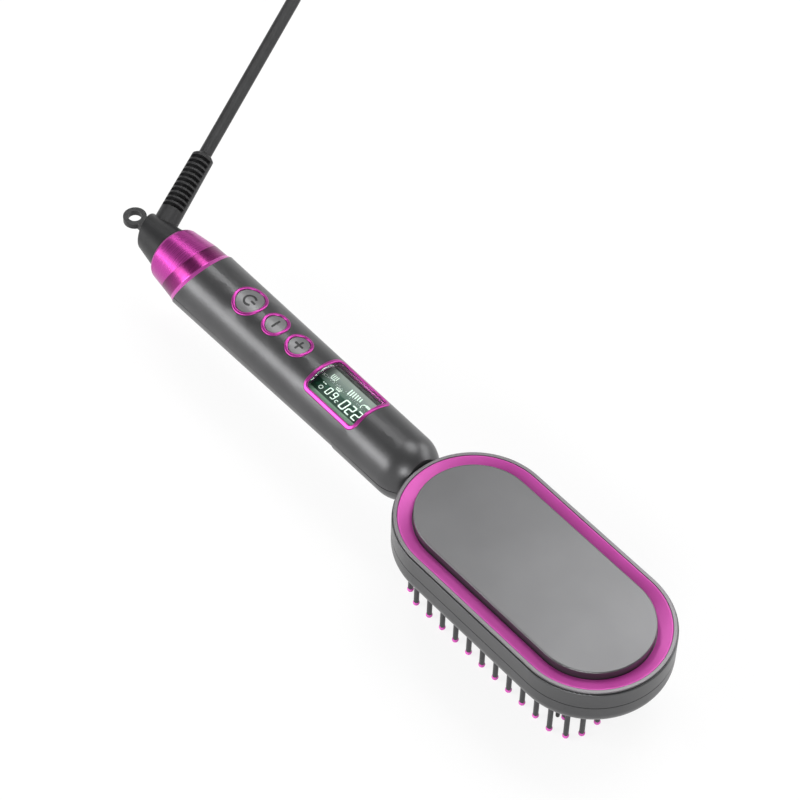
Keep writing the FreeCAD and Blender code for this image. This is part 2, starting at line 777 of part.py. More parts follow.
clamp_blank = slab("clamp_blank", "clamp_length", "clamp_width", "clamp_thickness", "clamp_width / 4",
                   ("head_x", "0", "clamp_z"))
nodes["heater_clamp"] = cut("heater_clamp", clamp_blank, clamp_holes)
nodes["clamp_screws"] = group("clamp_screws", clamp_screw, clamp_spots)
nodes["thermistor"] = rod("thermistor", "thermistor_radius", "thermistor_length",
                          ("head_x - thermistor_length / 2", "sensor_y",
                           "heater_top_z + thermistor_radius"), headward)
nodes["thermal_fuse"] = rod("thermal_fuse", "fuse_radius", "fuse_length",
                            ("head_x - fuse_length / 2", "-sensor_y", "heater_top_z + fuse_radius"), headward)

# buttons: ring, cap and plunger, each cap shaped by the handle's skin
buttons = {
    "power": ("power_offset", "power_ring_radius"),
    "minus": ("minus_offset", "small_ring_radius"),
    "plus": ("plus_offset", "small_ring_radius"),
}
ring_skin = skin("ring_skin", "ring_proud")
ring_floor = skin("ring_floor", "-ring_depth")
button_skin = skin("button_skin", "-button_drop")
button_holes = []


# rounds the edges of a piece that lie on the handle's skin, raised by an offset
def round_skin_rims(name, base, offset, radius):
    doc.recompute()
    taper = value("(handle_rear_radius - handle_front_radius) / handle_length")

    def on_skin(point):
        skin_radius = value(f"handle_front_radius + {offset}") + (value("dome_x") - point.x) * taper
        return abs(math.hypot(point.y, point.z - value("axis_z")) - skin_radius) < value("press_gap")

    rims = [
        (index, value(radius), value(radius)) for index, edge in enumerate(base.Shape.Edges, 1)
        if all(on_skin(point) for point in edge.discretize(Number=5))
    ]
    thing = doc.addObject("Part::Fillet", name)
    thing.Base = base
    thing.Edges = rims
    return thing


switch_spots = []
for button, (offset, ring_radius) in buttons.items():
    middle = f"dome_x - {offset}"
    at = (middle, "0", "axis_z")
    reach = "handle_rear_radius + ring_proud + overrun"
    ring_blank = rod(f"{button}_ring_blank", ring_radius, reach, at)
    ring_hole = rod(f"{button}_ring_hole", f"{ring_radius} - ring_bar", reach, at)
    ring_shell = overlap(f"{button}_ring_shell", ring_blank, ring_skin)
    ring_plain = cut(f"{button}_ring_plain", ring_shell, ring_hole, ring_floor)
    nodes[f"{button}_ring"] = round_skin_rims(f"{button}_ring", ring_plain, "ring_proud", "ring_round")
    button_holes.append(rod(f"{button}_hole", f"{ring_radius} + press_gap", reach, at))
    cap_radius = f"{ring_radius} - ring_bar - button_gap"
    cap_blank = rod(f"{button}_cap_blank", cap_radius, reach, (middle, "0", "flange_top_z"))
    cap_face = overlap(f"{button}_cap_face", cap_blank, button_skin)
    cap_flange = rod(f"{button}_cap_flange", f"{cap_radius} + flange_lip", "flange_thickness",
                     (middle, "0", "flange_z"))
    cap_stem = rod(f"{button}_cap_stem", "stem_radius", "flange_z - plunger_top_z",
                   (middle, "0", "plunger_top_z"))
    nodes[f"{button}_button"] = join(f"{button}_cap", cap_face, cap_flange, cap_stem)
    nodes[f"{button}_plunger"] = rod(f"{button}_plunger", "plunger_radius", "plunger_rise + plunger_seat",
                                     (middle, "0", "switch_top_z - plunger_seat"))
    switch_spots.append(Vector(value(middle), 0, 0))
switch_body = middle_box("switch_body", "switch_side", "switch_side", "switch_height",
                         ("0", "0", "board_top_z"))
switch_well = rod("switch_well", "plunger_radius + plunger_gap",
                  "plunger_seat + button_travel + fit_gap + overrun",
                  ("0", "0", "switch_top_z - plunger_seat - button_travel - fit_gap"))
switch = cut("switch", switch_body, switch_well)
nodes["tact_switches"] = group("tact_switches", switch, switch_spots)

# display: pink bezel, curved window, panel and backlight
bezel_at = ("display_x", "0", "axis_z")
bezel_reach = "handle_rear_radius + bezel_proud + overrun"
lens_length, lens_width = "bezel_length - bezel_bar * 2", "bezel_width - bezel_bar * 2"
bezel_blank = slab("bezel_blank", "bezel_length", "bezel_width", bezel_reach, "bezel_corner", bezel_at)
bezel_hole = slab("bezel_hole", lens_length, lens_width, bezel_reach, "bezel_corner - bezel_bar", bezel_at)
window_hole = slab("window_hole", "bezel_length + press_gap * 2", "bezel_width + press_gap * 2", bezel_reach,
                   "bezel_corner + press_gap", bezel_at)
lens_blank = slab("lens_blank", f"{lens_length} - press_gap * 2", f"{lens_width} - press_gap * 2",
                  bezel_reach,
                  "bezel_corner - bezel_bar - press_gap", bezel_at)
bezel_shell = overlap("bezel_shell", bezel_blank, skin("bezel_skin", "bezel_proud"))
bezel_plain = cut("bezel_plain", bezel_shell, bezel_hole, skin("bezel_floor", "-bezel_depth"))
nodes["display_bezel"] = round_skin_rims("display_bezel", bezel_plain, "bezel_proud", "bezel_round")
lens_shell = overlap("lens_shell", lens_blank, skin("lens_skin", "-lens_drop"))
nodes["display_lens"] = cut("display_lens", lens_shell, skin("lens_floor", "-lens_drop - lens_thickness"))
nodes["lcd_backlight"] = middle_box("lcd_backlight", "lcd_length", "lcd_width", "backlight_thickness",
                                    ("display_x - lcd_setback", "0", "board_top_z"))
nodes["lcd_panel"] = middle_box("lcd_panel", "lcd_length", "lcd_width", "lcd_thickness",
                                ("display_x - lcd_setback", "0", "board_top_z + backlight_thickness"))

# handle shells
handle_blank = cut("handle_blank", join("handle_cone", handle_skin, rear_skin, handle_dome), behind_handle)
handle_solid = join("handle_solid", handle_blank, spigot)
handle_tube = cut("handle_tube", handle_solid, handle_hollow, dome_hollow, spigot_hole)
board_bosses = [
    rod(f"board_boss_{place}", "board_boss_radius", "handle_rear_radius",
        (f"dome_x - board_boss_{place}", "0", "board_top_z"))
    for place in ("front", "rear")
]
closing_bosses = [
    rod(f"closing_boss_{place}", "handle_boss_radius", "handle_rear_radius", (spot, "0", "upper_z"))
    for place, spot in (("front", front_boss_x), ("rear", rear_boss_x))
]
boss_rooms = [handle_skin, handle_skin, handle_skin, spigot]
upper_bosses = [
    overlap(boss.Name + "_trimmed", boss, room)
    for boss, room in zip(board_bosses + closing_bosses, boss_rooms)
]
head_room = racetrack("head_room", "head_radius + fit_gap", "parting_z", "plate_z")
closing_holes = [
    rod(f"closing_hole_{place}", "screw_radius", "handle_screw_length", (spot, "0", "sink_height"))
    for place, spot in (("front", front_boss_x), ("rear", rear_boss_x))
]
board_screw = turned("board_screw", screw_profile("board_screw_length"),
                     ("0", "0", "board_z - screw_head_height"), turned_up)
board_spots = [Vector(value(f"dome_x - board_boss_{place}"), 0, 0) for place in ("front", "rear")]
nodes["board_screws"] = group("board_screws", board_screw, board_spots)
board_hole = rod("board_hole", "screw_radius", "board_screw_length",
                 ("0", "0", "board_z - screw_head_height"))
board_holes = group("board_holes", board_hole, board_spots)
upper_half = join("upper_half", handle_tube, *upper_bosses)
nodes["handle_upper_shell"] = cut("handle_upper", upper_half, below_upper, head_room, window_hole,
                                  board_holes,
                                  *button_holes, *closing_holes)

lower_length = "handle_length - neck_length - seam_gap"
lower_start = ("joint_x - seam_gap", "0", "axis_z")
lower_cone = cone("lower_cone", "lower_front_radius", "handle_rear_radius", lower_length, lower_start,
                  tailward)
lower_core = cone("lower_core", "lower_front_radius - handle_wall", "handle_rear_radius - handle_wall",
                  f"{lower_length} - spigot_root", lower_start, tailward)
tongue_radius = "neck_radius - handle_wall - fit_gap"
tongue_rod = rod("tongue_rod", tongue_radius, "tongue_length * 2",
                 ("joint_x - tongue_length", "0", "axis_z"), headward)
tongue_core = rod("tongue_core", f"{tongue_radius} - tongue_wall", "tongue_length * 2 + overrun * 2",
                  ("joint_x - tongue_length - overrun", "0", "axis_z"), headward)
tongue = cut("tongue", tongue_rod, tongue_core)
rear_boss_rod = lower_boss("rear_boss_rod", rear_boss_x)
rear_boss = overlap("rear_boss", rear_boss_rod, lower_cone)
lower_blank = cut("lower_blank", join("lower_skin", lower_cone, rear_skin), behind_handle)
lower_tube = cut("lower_tube", join("lower_solid_tube", lower_blank, spigot), lower_core, spigot_hole)
lower_half = join("lower_half", lower_tube, tongue, rear_boss)
nodes["handle_lower_shell"] = cut("handle_lower", lower_half, above_lower,
                                  boss_drill("rear_drill", rear_boss_x))

# control board and its parts
board_middle = "board_front_x - board_length / 2"
board_blank = middle_box("board_blank", "board_length", "board_width", "board_thickness",
                         (board_middle, "0", "board_z"))
nodes["control_board"] = cut("control_board", board_blank, board_holes)
nodes["control_chip"] = middle_box("control_chip", "chip_length", "chip_width", "chip_thickness",
                                   ("dome_x - chip_offset", "0", "board_z - chip_thickness"))
nodes["filter_capacitor"] = rod("filter_capacitor", "capacitor_radius", "capacitor_length",
                                ("dome_x - capacitor_offset", "0", "board_z - capacitor_radius"), headward)
nodes["heater_triac"] = middle_box("heater_triac", "triac_length", "triac_width", "triac_height",
                                   ("dome_x - triac_offset", "-board_width / 4", "board_z - triac_height"))

# collar: a turned cone behind a slanted step, then a band and a rim that run out to the handle
nose_shares = ((0, 0), (0.45, 0.2), (0.78, 0.52), (1, 1))
nose_start = "collar_length - collar_nose_length"
collar_bore = "spigot_radius + press_gap"
collar_points = [("0", collar_bore), ("0", "collar_cone_radius")]
collar_points += [
    (f"{nose_start} + collar_nose_length * {along}",
     f"collar_shoulder_radius - (collar_shoulder_radius - collar_end_radius) * {inward}")
    for along, inward in nose_shares
]
collar_points += [
    ("collar_length", "journal_radius + running_gap"),
    ("collar_wall_start", "journal_radius + running_gap"), ("collar_wall_start", "collar_cavity_radius"),
    ("spigot_length + fit_gap", "collar_cavity_radius"), ("spigot_length + fit_gap", collar_bore),
]
collar_at = ("collar_x", "0", "axis_z")
collar_turned = turned("collar_turned", collar_points, collar_at, turned_tailward)
ahead_of_step = slanted_block("ahead_of_step", "collar_step_length", -slant_out)
collar_cone = cut("collar_cone", collar_turned, ahead_of_step)


# where the slanted plane cuts a cone: its radius on the handle's axis, and its growth towards the head
def slanted_ring(setback, radius, growth):
    lean = growth * slant
    rise = radius * lean / (1 - lean ** 2)
    middle = slant_middle(setback) + Vector(slant, 0, 1) * rise
    steep = radius / (1 - lean ** 2) * math.hypot(1, slant)
    level = radius / math.sqrt(1 - lean ** 2)
    curve = Part.Ellipse(middle + slant_line * steep, middle + Vector(0, 1, 0) * level, middle)
    return Part.Wire(curve.toShape())


cone_growth = value(f"(collar_cone_radius - collar_shoulder_radius) / ({nose_start})")
step_ring = slanted_ring("collar_step_length", value("collar_cone_radius")
                         - cone_growth * value("collar_step_length"), cone_growth)
waist_ring = slanted_ring("collar_band", value("collar_waist_radius"), 0)
rim_ring = slanted_ring("0", value("handle_rear_radius - collar_rim_drop"), 0)
collar_band = feature_of("collar_band", Part.makeLoft([step_ring, waist_ring], True, True))
collar_rim = feature_of("collar_rim", Part.makeLoft([waist_ring, rim_ring], True, True))
band_bore = rod("band_bore", collar_bore, "slant_reach + spigot_length + fit_gap",
                ("collar_x + slant_reach", "0", "axis_z"), tailward)
cone_cavity = rod("cone_cavity", "collar_cavity_radius", "collar_wall_start", collar_at, tailward)
collar_solid = join("collar_solid", collar_cone, collar_band, collar_rim)
nodes["tail_collar"] = cut("tail_collar", collar_solid, band_bore, cone_cavity)

# fixed contacts in the spigot
carrier_points = [
    ("carrier_start", "carrier_bore"), ("carrier_start", "spigot_bore - press_gap"),
    ("carrier_end", "spigot_bore - press_gap"), ("carrier_end", "carrier_bore"),
]
nodes["contact_carrier"] = turned("contact_carrier", carrier_points, collar_at, turned_tailward)
inner_reach = "inner_slip_start + slip_ring_width - carrier_end"
outer_reach = "outer_slip_start + slip_ring_width - carrier_end"
inner_spring = box("inner_spring", inner_reach, "spring_width", "spring_thickness",
                   (f"collar_x - carrier_end - ({inner_reach})", "-spring_width / 2",
                    "axis_z + inner_slip_radius + running_gap"))
outer_spring = box("outer_spring", outer_reach, "spring_width", "spring_thickness",
                   (f"collar_x - carrier_end - ({outer_reach})", "-spring_width / 2",
                    "axis_z - outer_slip_radius - running_gap - spring_thickness"))
doc.recompute()
nodes["contact_springs"] = feature_of("contact_springs",
                                      Part.makeCompound([inner_spring.Shape, outer_spring.Shape]))

# swivelling cap: a turned cone with journal, a flat back, a seat for the boot and the hanging loop
outlet_turn = math.radians(value("outlet_turn_degrees"))
outlet_rise = math.radians(value("outlet_rise_degrees"))
outlet = Vector(-math.cos(outlet_turn) * math.cos(outlet_rise), math.sin(outlet_turn) * math.cos(outlet_rise),
                math.sin(outlet_rise))
outlet_middle = Vector(value("outlet_x"), 0, value("axis_z"))
cap_start = "collar_length + swivel_gap"
cap_end = f"{cap_start} + cap_length"
cap_points = [
    ("nose_tip", "journal_bore"), ("nose_tip", "journal_nose_radius"),
    ("nose_tip + journal_nose_length", "journal_nose_radius"),
    ("nose_tip + journal_nose_length", "journal_radius"),
    ("clip_start", "journal_radius"), ("clip_start", "clip_groove_radius"),
    ("clip_start + clip_thickness", "clip_groove_radius"), ("clip_start + clip_thickness", "journal_radius"),
    (cap_start, "journal_radius"), (cap_start, "cap_radius"), (cap_end, "cap_tail_radius"), (cap_end, "0"),
    (f"{cap_start} + outlet_offset", "0"),
    (f"{cap_start} + outlet_offset", "journal_bore"),
]
cap_turned = turned("cap_turned", cap_points, collar_at, turned_tailward)


def outlet_rod(name, radius, length, start):
    thing = doc.addObject("Part::Cylinder", name)
    bind(thing, Radius=radius, Height=length)
    thing.Placement = Placement(outlet_middle + outlet * value(start), Rotation(Vector(0, 0, 1), outlet))
    return thing


outlet_seat = outlet_rod("outlet_seat", "boot_base_radius + press_gap", "cap_length", "outlet_flat")
outlet_socket = outlet_rod("outlet_socket", "boot_root_radius + press_gap", "boot_root + overrun",
                           "outlet_flat - boot_root")
# the cap's back is a flat along the outlet, behind the boot
back_out = (Vector(-1, 0, 0) - outlet * -outlet.x).normalize()
back_plane = outlet_middle + back_out * value("cap_back")
behind_cap = doc.addObject("Part::Cylinder", "behind_cap")
bind(behind_cap, Radius="cap_length", Height="cap_length")
behind_cap.Placement = Placement(back_plane, Rotation(Vector(0, 0, 1), back_out))
cap_flat = cut("cap_flat", cap_turned, behind_cap)
doc.recompute()
back_edges = [
    (index, value("cap_round"), value("cap_round"))
    for index, edge in enumerate(cap_flat.Shape.Edges, 1)
    if all(abs((spot - back_plane).dot(back_out)) < value("press_gap") for spot in edge.discretize(Number=5))
]
cap_rounded = doc.addObject("Part::Fillet", "cap_rounded")
cap_rounded.Base = cap_flat
cap_rounded.Edges = back_edges
loop_disc = rod("loop_disc", "loop_radius", "loop_thickness", ("loop_x", "0", "axis_z - loop_thickness / 2"))
loop_web = box("loop_web", "loop_offset - cap_back / 2", "loop_neck", "loop_thickness",
               ("loop_x", "-loop_neck / 2", "axis_z - loop_thickness / 2"))
loop_hole = rod("loop_hole", "loop_bore", "loop_thickness + overrun * 2",
                ("loop_x", "0", "axis_z - loop_thickness / 2 - overrun"))
cap_looped = join("cap_looped", cap_rounded, loop_disc, loop_web)
nodes["tail_cap"] = cut("tail_cap", cap_looped, outlet_seat, outlet_socket, loop_hole)

clip_points = [
    ("clip_start", "clip_groove_radius"), ("clip_start", "clip_radius"),
    ("clip_start + clip_thickness", "clip_radius"), ("clip_start + clip_thickness", "clip_groove_radius"),
]
clip_ring = turned("clip_ring", clip_points, collar_at, turned_tailward)
clip_gap = box("clip_gap", "clip_thickness + overrun * 2", "clip_slot", "clip_radius",
               ("collar_x - clip_start - clip_thickness - overrun", "-clip_slot / 2", "axis_z - clip_radius"))
nodes["swivel_clip"] = cut("swivel_clip", clip_ring, clip_gap)


def slip_ring(name, start, radius):
    points = [
        (start, "journal_nose_radius"), (start, radius),
        (f"{start} + slip_ring_width", radius), (f"{start} + slip_ring_width", "journal_nose_radius"),
    ]
    return turned(name, points, collar_at, turned_tailward)


slip_pair = [
    slip_ring("inner_slip", "inner_slip_start", "inner_slip_radius"),
    slip_ring("outer_slip", "outer_slip_start", "outer_slip_radius"),
]
doc.recompute()
nodes["slip_rings"] = feature_of("slip_rings", Part.makeCompound([ring.Shape for ring in slip_pair]))

# strain relief: a tapered boot with slots that leave a web on each side
slot_count = 11
boot_points = [
    ("0", "0"), ("0", "boot_root_radius"), ("boot_root", "boot_root_radius"),
    ("boot_root", "boot_base_radius"),
    ("boot_root + boot_base_length", "boot_base_radius"),
    ("boot_root + boot_length - boot_tip_round", "boot_tip_radius"),
    ("boot_root + boot_length", "boot_tip_radius - boot_tip_round"), ("boot_root + boot_length", "0"),
]
boot_side = Vector(math.sin(outlet_turn), math.cos(outlet_turn), 0)
boot_turned = turned("boot_turned", boot_points, ("0", "0", "0"), upright)
boot_slots = []
slot_zone = "(boot_length - boot_base_length - boot_tip_length)"
slot_length = "boot_base_radius * 2 + overrun"
for slot in range(slot_count):
    start = f"boot_root + boot_base_length + {slot_zone} * {slot} / {slot_count}"
    ring = rod(f"slot_ring_{slot}", "boot_base_radius + overrun", "boot_slot_width", (start, "0", "0"),
               headward)
    core = rod(f"slot_core_{slot}", "boot_core_radius", "boot_slot_width", (start, "0", "0"), headward)
    web = box(f"slot_web_{slot}", "boot_slot_width", f"({slot_length}) * 2", "boot_web",
              (start, f"-({slot_length})", "-boot_web / 2"))
    boot_slots.append(cut(f"boot_slot_{slot}", ring, core, web))
doc.recompute()
boot_shape = boot_turned.Shape.cut(Part.makeCompound([slot.Shape for slot in boot_slots])).Solids[0]
strain_relief = feature_of("strain_relief", boot_shape)
strain_relief.Placement = Placement(outlet_middle + outlet * value("outlet_flat - boot_root"),
                                    Rotation(outlet, boot_side, outlet.cross(boot_side), "XYZ"))
nodes["strain_relief"] = strain_relief


# a round tube on straight runs joined by tangent arcs, each as large as its two runs allow
def tube_along(points, radius, label):
    run_share = 0.45
    edges, radii, start = [], [], points[0]
    for before, corner, after in zip(points, points[1:], points[2:]):
        inward, outward = (corner - before), (after - corner)
        turn = inward.getAngle(outward)
        trim = run_share * min(inward.Length, outward.Length)
        inward.normalize()
        outward.normalize()
        first, last = corner - inward * trim, corner + outward * trim
        bend = trim / math.tan(turn / 2)
        middle = first + last
        middle.multiply(0.5)
        towards = corner - middle
        towards.normalize()
        sag = bend * (1 - math.cos(turn / 2))
        edges.append(Part.LineSegment(start, first).toShape())
        edges.append(Part.Arc(first, middle + towards * sag, last).toShape())
        radii.append(bend)
        start = last
    edges.append(Part.LineSegment(start, points[-1]).toShape())
    return pipe_on(edges, radius, label, radii)


# the tube's seam is turned out of the plane of its bends
seam_degrees = 60


def pipe_on(edges, radius, label, radii):
    spine = Part.Wire(edges)
    first = edges[0].valueAt(edges[0].FirstParameter)
    ahead = edges[0].tangentAt(edges[0].FirstParameter)
    section = Part.makeCircle(radius, first, ahead)
    section.rotate(first, ahead, seam_degrees)
    shell = Part.BRepOffsetAPI.MakePipeShell(spine)
    shell.add(Part.Wire(section))
    shell.build()
    shell.makeSolid()
    shape = shell.shape()
    share = shape.Volume / (math.pi * radius ** 2 * spine.Length)
    bends = [round(bend, 1) for bend in radii]
    print(f"{label}: length {spine.Length:.1f}, radii {bends}, volume share {share:.4f}")
    return shape


# wires inside the handle, in pairs either side of the middle
heater_end_x = value("head_x - ptc_spacing / 2 - ptc_length / 2")
wire_radius = value("wire_radius")
under_board_z = value("board_z") - wire_radius
neck_z, ptc_middle_z = value(passage_z), value("heater_top_z + ptc_height / 2")
wall_x = value("head_x - head_reach")
riser_shares = (0.05, 0.35)
heater_leads, supply_leads = [], []
carrier_x = value("collar_x - carrier_start")
for side in (-1, 1):
    wide, narrow = side * value("handle_boss_radius + wire_radius * 2"), side * value("wire_spread")
    span = heater_end_x - wall_x
    heater_leads.append(tube_along([
        Vector(value("board_front_x - switch_side"), wide, under_board_z),
        Vector(value("dome_x - front_boss_offset"), wide, under_board_z),
        Vector(value("dome_x + front_boss_offset / 2"), narrow, neck_z),
        Vector(wall_x + span * riser_shares[0], narrow, neck_z),
        Vector(wall_x + span * riser_shares[1], narrow, ptc_middle_z),
        Vector(heater_end_x, narrow, ptc_middle_z),
    ], wire_radius, "heater lead"))
    supply_leads.append(tube_along([
        Vector(carrier_x, wide, value("axis_z - board_rise * 2")),
        Vector(value("collar_x + spigot_root"), wide, value("axis_z - board_rise * 2")),
        Vector(value("board_rear_x - board_thickness"), wide, under_board_z),
        Vector(value("board_rear_x + switch_side"), wide, under_board_z),
    ], wire_radius, "supply lead"))
nodes["heater_leads"] = feature_of("heater_leads", Part.makeCompound(heater_leads))
nodes["supply_leads"] = feature_of("supply_leads", Part.makeCompound(supply_leads))

# mains cord: straight out of the boot, then down to the floor and into a coil
cord_radius = value("cord_radius")
boot_end = outlet_middle + outlet * value("outlet_flat + boot_length")
cord_route = [
    boot_end,
    outlet_middle + outlet * value("cord_straight"),
    Vector(-213.0, 140.0, 27.0),
    Vector(-244.0, 141.0, 9.0),
    Vector(-274.0, 137.0, 3.4),
    Vector(-301.0, 136.0, 3.4),
]
nodes["cord_lead"] = feature_of("cord_lead", tube_along(cord_route, cord_radius, "cord lead"))

# coil: spirals in on the floor, climbs one layer as it turns back, and spirals out again
coil_turns = 7.25
coil_radius, coil_pitch = value("coil_radius"), value("coil_pitch")
coil_heading = cord_route[-1] - cord_route[-2]
coil_heading.normalize()
coil_start = cord_route[-1] + coil_heading * 2 * cord_radius
lean = math.atan2(coil_pitch, 2 * math.pi * coil_radius)
start_angle = math.atan2(coil_heading.y, coil_heading.x) - math.pi / 2 - lean
coil_middle = coil_start - Vector(math.cos(start_angle), math.sin(start_angle), 0) * coil_radius
reverse_span = 0.25


# centre of the cord after a number of turns
def coil_point(turn):
    from_middle = turn - coil_turns / 2
    inward = coil_turns / 2 - abs(from_middle)
    climb = 0.0 if from_middle < 0 else 1.0
    if abs(from_middle) < reverse_span:
        inward = coil_turns / 2 - reverse_span / 2 - from_middle ** 2 / (2 * reverse_span)
        climb = (1 + math.sin(math.pi / 2 * from_middle / reverse_span)) / 2
    reach = coil_radius - coil_pitch * inward
    angle = start_angle + 2 * math.pi * turn
    height = value("coil_height") + climb * coil_pitch
    return Vector(coil_middle.x + reach * math.cos(angle), coil_middle.y + reach * math.sin(angle), height)


def coil_tangent(turn):
    step = 1e-5
    first, last = max(turn - step, 0), min(turn + step, coil_turns)
    ahead = coil_point(last) - coil_point(first)
    return ahead.normalize()


quarter_turns = int((coil_turns / 2) / reverse_span)
quarter_steps = range(-quarter_turns, quarter_turns + 1)
stops = [0.0] + [coil_turns / 2 + reverse_span * step for step in quarter_steps] + [coil_turns]
stations = [(coil_point(turn), coil_tangent(turn)) for turn in stops]
exit_point, exit_way = stations[-1]
drop = exit_point.z - value("plug_height") / 2
level, run = value("coil_exit_level"), value("coil_exit_run")
half_way = exit_way * (run / 2) - Vector(0, 0, drop)
half_way.normalize()
stations.append((exit_point + exit_way * level, exit_way))
stations.append((exit_point + exit_way * (level + run / 2) - Vector(0, 0, drop / 2), half_way))
stations.append((exit_point + exit_way * (level + run) - Vector(0, 0, drop), exit_way))


def arc_edge(first, knee, last):
    middle = (first + last) * 0.5
    half, rise = (last - first).Length / 2, (knee - middle).Length
    if rise < half * 1e-6:
        return Part.LineSegment(first, last).toShape()
    sag = half * math.tan(math.atan2(rise, half) / 2)
    return Part.Arc(first, middle + (knee - middle).normalize() * sag, last).toShape()


# two tangent arcs between two points with given directions
def biarc(start, end):
    (first, way), (last, last_way) = start, end
    chord, both = last - first, way + last_way
    twist = 2 * (1 - way.dot(last_way))
    reach = chord.dot(chord) / (2 * chord.dot(both))
    if twist > 1e-9:
        reach = (math.sqrt(chord.dot(both) ** 2 + twist * chord.dot(chord)) - chord.dot(both)) / twist
    knees = first + way * reach, last - last_way * reach
    joint = (knees[0] + knees[1]) * 0.5
    return [arc_edge(first, knees[0], joint), arc_edge(joint, knees[1], last)]


coil_edges = [Part.LineSegment(cord_route[-1], coil_start).toShape()]
for start, end in zip(stations, stations[1:]):
    coil_edges += biarc(start, end)
coil_end = stations[-1][0] + exit_way * 2 * cord_radius
coil_edges.append(Part.LineSegment(stations[-1][0], coil_end).toShape())
nodes["cord_coil"] = feature_of("cord_coil", pipe_on(coil_edges, cord_radius, "cord coil", [coil_radius]))


# least gap between stretches of the tube that lie more than a quarter turn apart along it
def self_gap(edges, step):
    points = Part.Wire(edges).discretize(Distance=step)
    apart = int(coil_radius * math.pi / 2 / step)
    least = min(
        points[i].distanceToPoint(points[j])
        for i in range(len(points)) for j in range(i + apart, len(points))
    )
    return least - 2 * cord_radius


print(f"cord coil: least gap to itself {self_gap(coil_edges, cord_radius):.2f}")
print("coil start", [round(number, 2) for number in coil_start],
      "middle", [round(number, 2) for number in coil_middle],
      "start angle", round(math.degrees(start_angle), 3))

# tie round the coil's turns, away from where the cord comes and goes
inner_turn = coil_radius - coil_pitch * (coil_turns / 2 - reverse_span / 2) - cord_radius
tie_gap, tie_thickness = value("tie_gap"), value("tie_thickness")
tie_inner = inner_turn - tie_gap * 2
tie_outer = coil_radius + cord_radius + tie_gap
tie_top = value("coil_height") + coil_pitch + cord_radius + tie_gap
outer_loop = Part.makeBox(tie_outer - tie_inner + tie_thickness * 2, value("tie_width"),
                          tie_top + tie_thickness,
                          Vector(tie_inner - tie_thickness, -value("tie_width") / 2, 0))
inner_loop = Part.makeBox(tie_outer - tie_inner, value("tie_width") + value("overrun") * 2,
                          tie_top - tie_thickness,
                          Vector(tie_inner, -value("tie_width") / 2 - value("overrun"), tie_thickness))
cord_tie = feature_of("cord_tie", outer_loop.cut(inner_loop))
cord_tie.Placement = Placement(Vector(coil_middle.x, coil_middle.y, 0),
                               Rotation(Vector(0, 0, 1), value("tie_turn_degrees")))
nodes["cord_tie"] = cord_tie

# plug: flat two-pin body that lies on the floor past the coil
plug_turn = Rotation(Vector(1, 0, 0), exit_way)
tail_length, plug_length = value("plug_tail_length"), value("plug_length")
plug_blank = slab("plug_blank", "plug_length", "plug_width", "plug_height", "plug_corner",
                  ("plug_tail_length + plug_length / 2", "0", "-plug_height / 2"))
plug_tail = cone("plug_tail", "plug_tail_tip_radius", "plug_tail_radius", "plug_tail_length + plug_corner",
                 ("0", "0", "0"), headward)
plug_pins = []
for side in (-1, 1):
    pin_at = ("plug_tail_length + plug_length - plug_pin_seat", f"{side} * plug_pin_spacing / 2", "0")
    pin_points = [
        ("0", "0"), ("0", "plug_pin_radius"),
        ("plug_pin_seat + plug_pin_length - plug_pin_round", "plug_pin_radius"),
        ("plug_pin_seat + plug_pin_length", "plug_pin_radius - plug_pin_round"),
        ("plug_pin_seat + plug_pin_length", "0"),
    ]
    plug_pins.append(turned(f"plug_pin_{'left' if side < 0 else 'right'}", pin_points, pin_at, upright))
plug_solid = cut("plug_solid", join("plug_joined", plug_blank, plug_tail), *plug_pins)
doc.recompute()
plug_place = Placement(coil_end, plug_turn)
nodes["plug_body"] = feature_of("plug_body", plug_solid.Shape.Solids[0].copy())
nodes["plug_body"].Placement = plug_place
nodes["plug_pins"] = feature_of("plug_pins", Part.makeCompound([pin.Shape for pin in plug_pins]))
nodes["plug_pins"].Placement = plug_place

doc.recompute()
for thing in doc.Objects:
    if "Invalid" in thing.State or "Error" in thing.State:
        raise RuntimeError(f"{thing.Name} failed: {thing.State}")
for name, thing in nodes.items():
    thing.Label = name
    if thing.Shape.isNull() or not thing.Shape.isValid() or not thing.Shape.Solids:
        raise RuntimeError(f"{name} has no valid solid")

os.makedirs("parts", exist_ok=True)
for name, thing in nodes.items():
    thing.Shape.exportStep(os.path.join("parts", f"{name}.step"))
print(f"{len(nodes)} nodes written")
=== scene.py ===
import json
import math

import bmesh
import bpy
from mathutils import Euler, Matrix, Vector


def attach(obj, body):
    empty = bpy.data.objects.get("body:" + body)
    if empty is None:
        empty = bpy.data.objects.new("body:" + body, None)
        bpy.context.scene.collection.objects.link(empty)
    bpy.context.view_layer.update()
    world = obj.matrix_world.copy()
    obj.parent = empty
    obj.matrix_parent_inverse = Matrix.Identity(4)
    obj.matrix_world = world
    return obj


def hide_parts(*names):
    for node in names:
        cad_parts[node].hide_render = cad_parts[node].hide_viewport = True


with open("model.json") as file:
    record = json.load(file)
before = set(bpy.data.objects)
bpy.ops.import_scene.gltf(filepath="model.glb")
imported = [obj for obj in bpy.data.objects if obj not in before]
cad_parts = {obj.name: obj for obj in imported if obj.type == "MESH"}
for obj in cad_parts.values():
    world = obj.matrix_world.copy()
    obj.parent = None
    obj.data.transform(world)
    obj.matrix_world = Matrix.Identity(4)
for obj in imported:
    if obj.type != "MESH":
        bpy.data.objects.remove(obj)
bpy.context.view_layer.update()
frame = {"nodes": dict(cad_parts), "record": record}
nodes = frame["nodes"]
fullTurn = 2 * math.pi
print("frame loaded:", len(nodes), "nodes")


# eye values from 0 to 255 to the light values that the shader wants
def linear(*eye):
    shares = [value / 255 for value in eye]
    light = [((share + 0.055) / 1.055) ** 2.4 if share > 0.04 else share / 12.92 for share in shares]
    return (*light, 1)


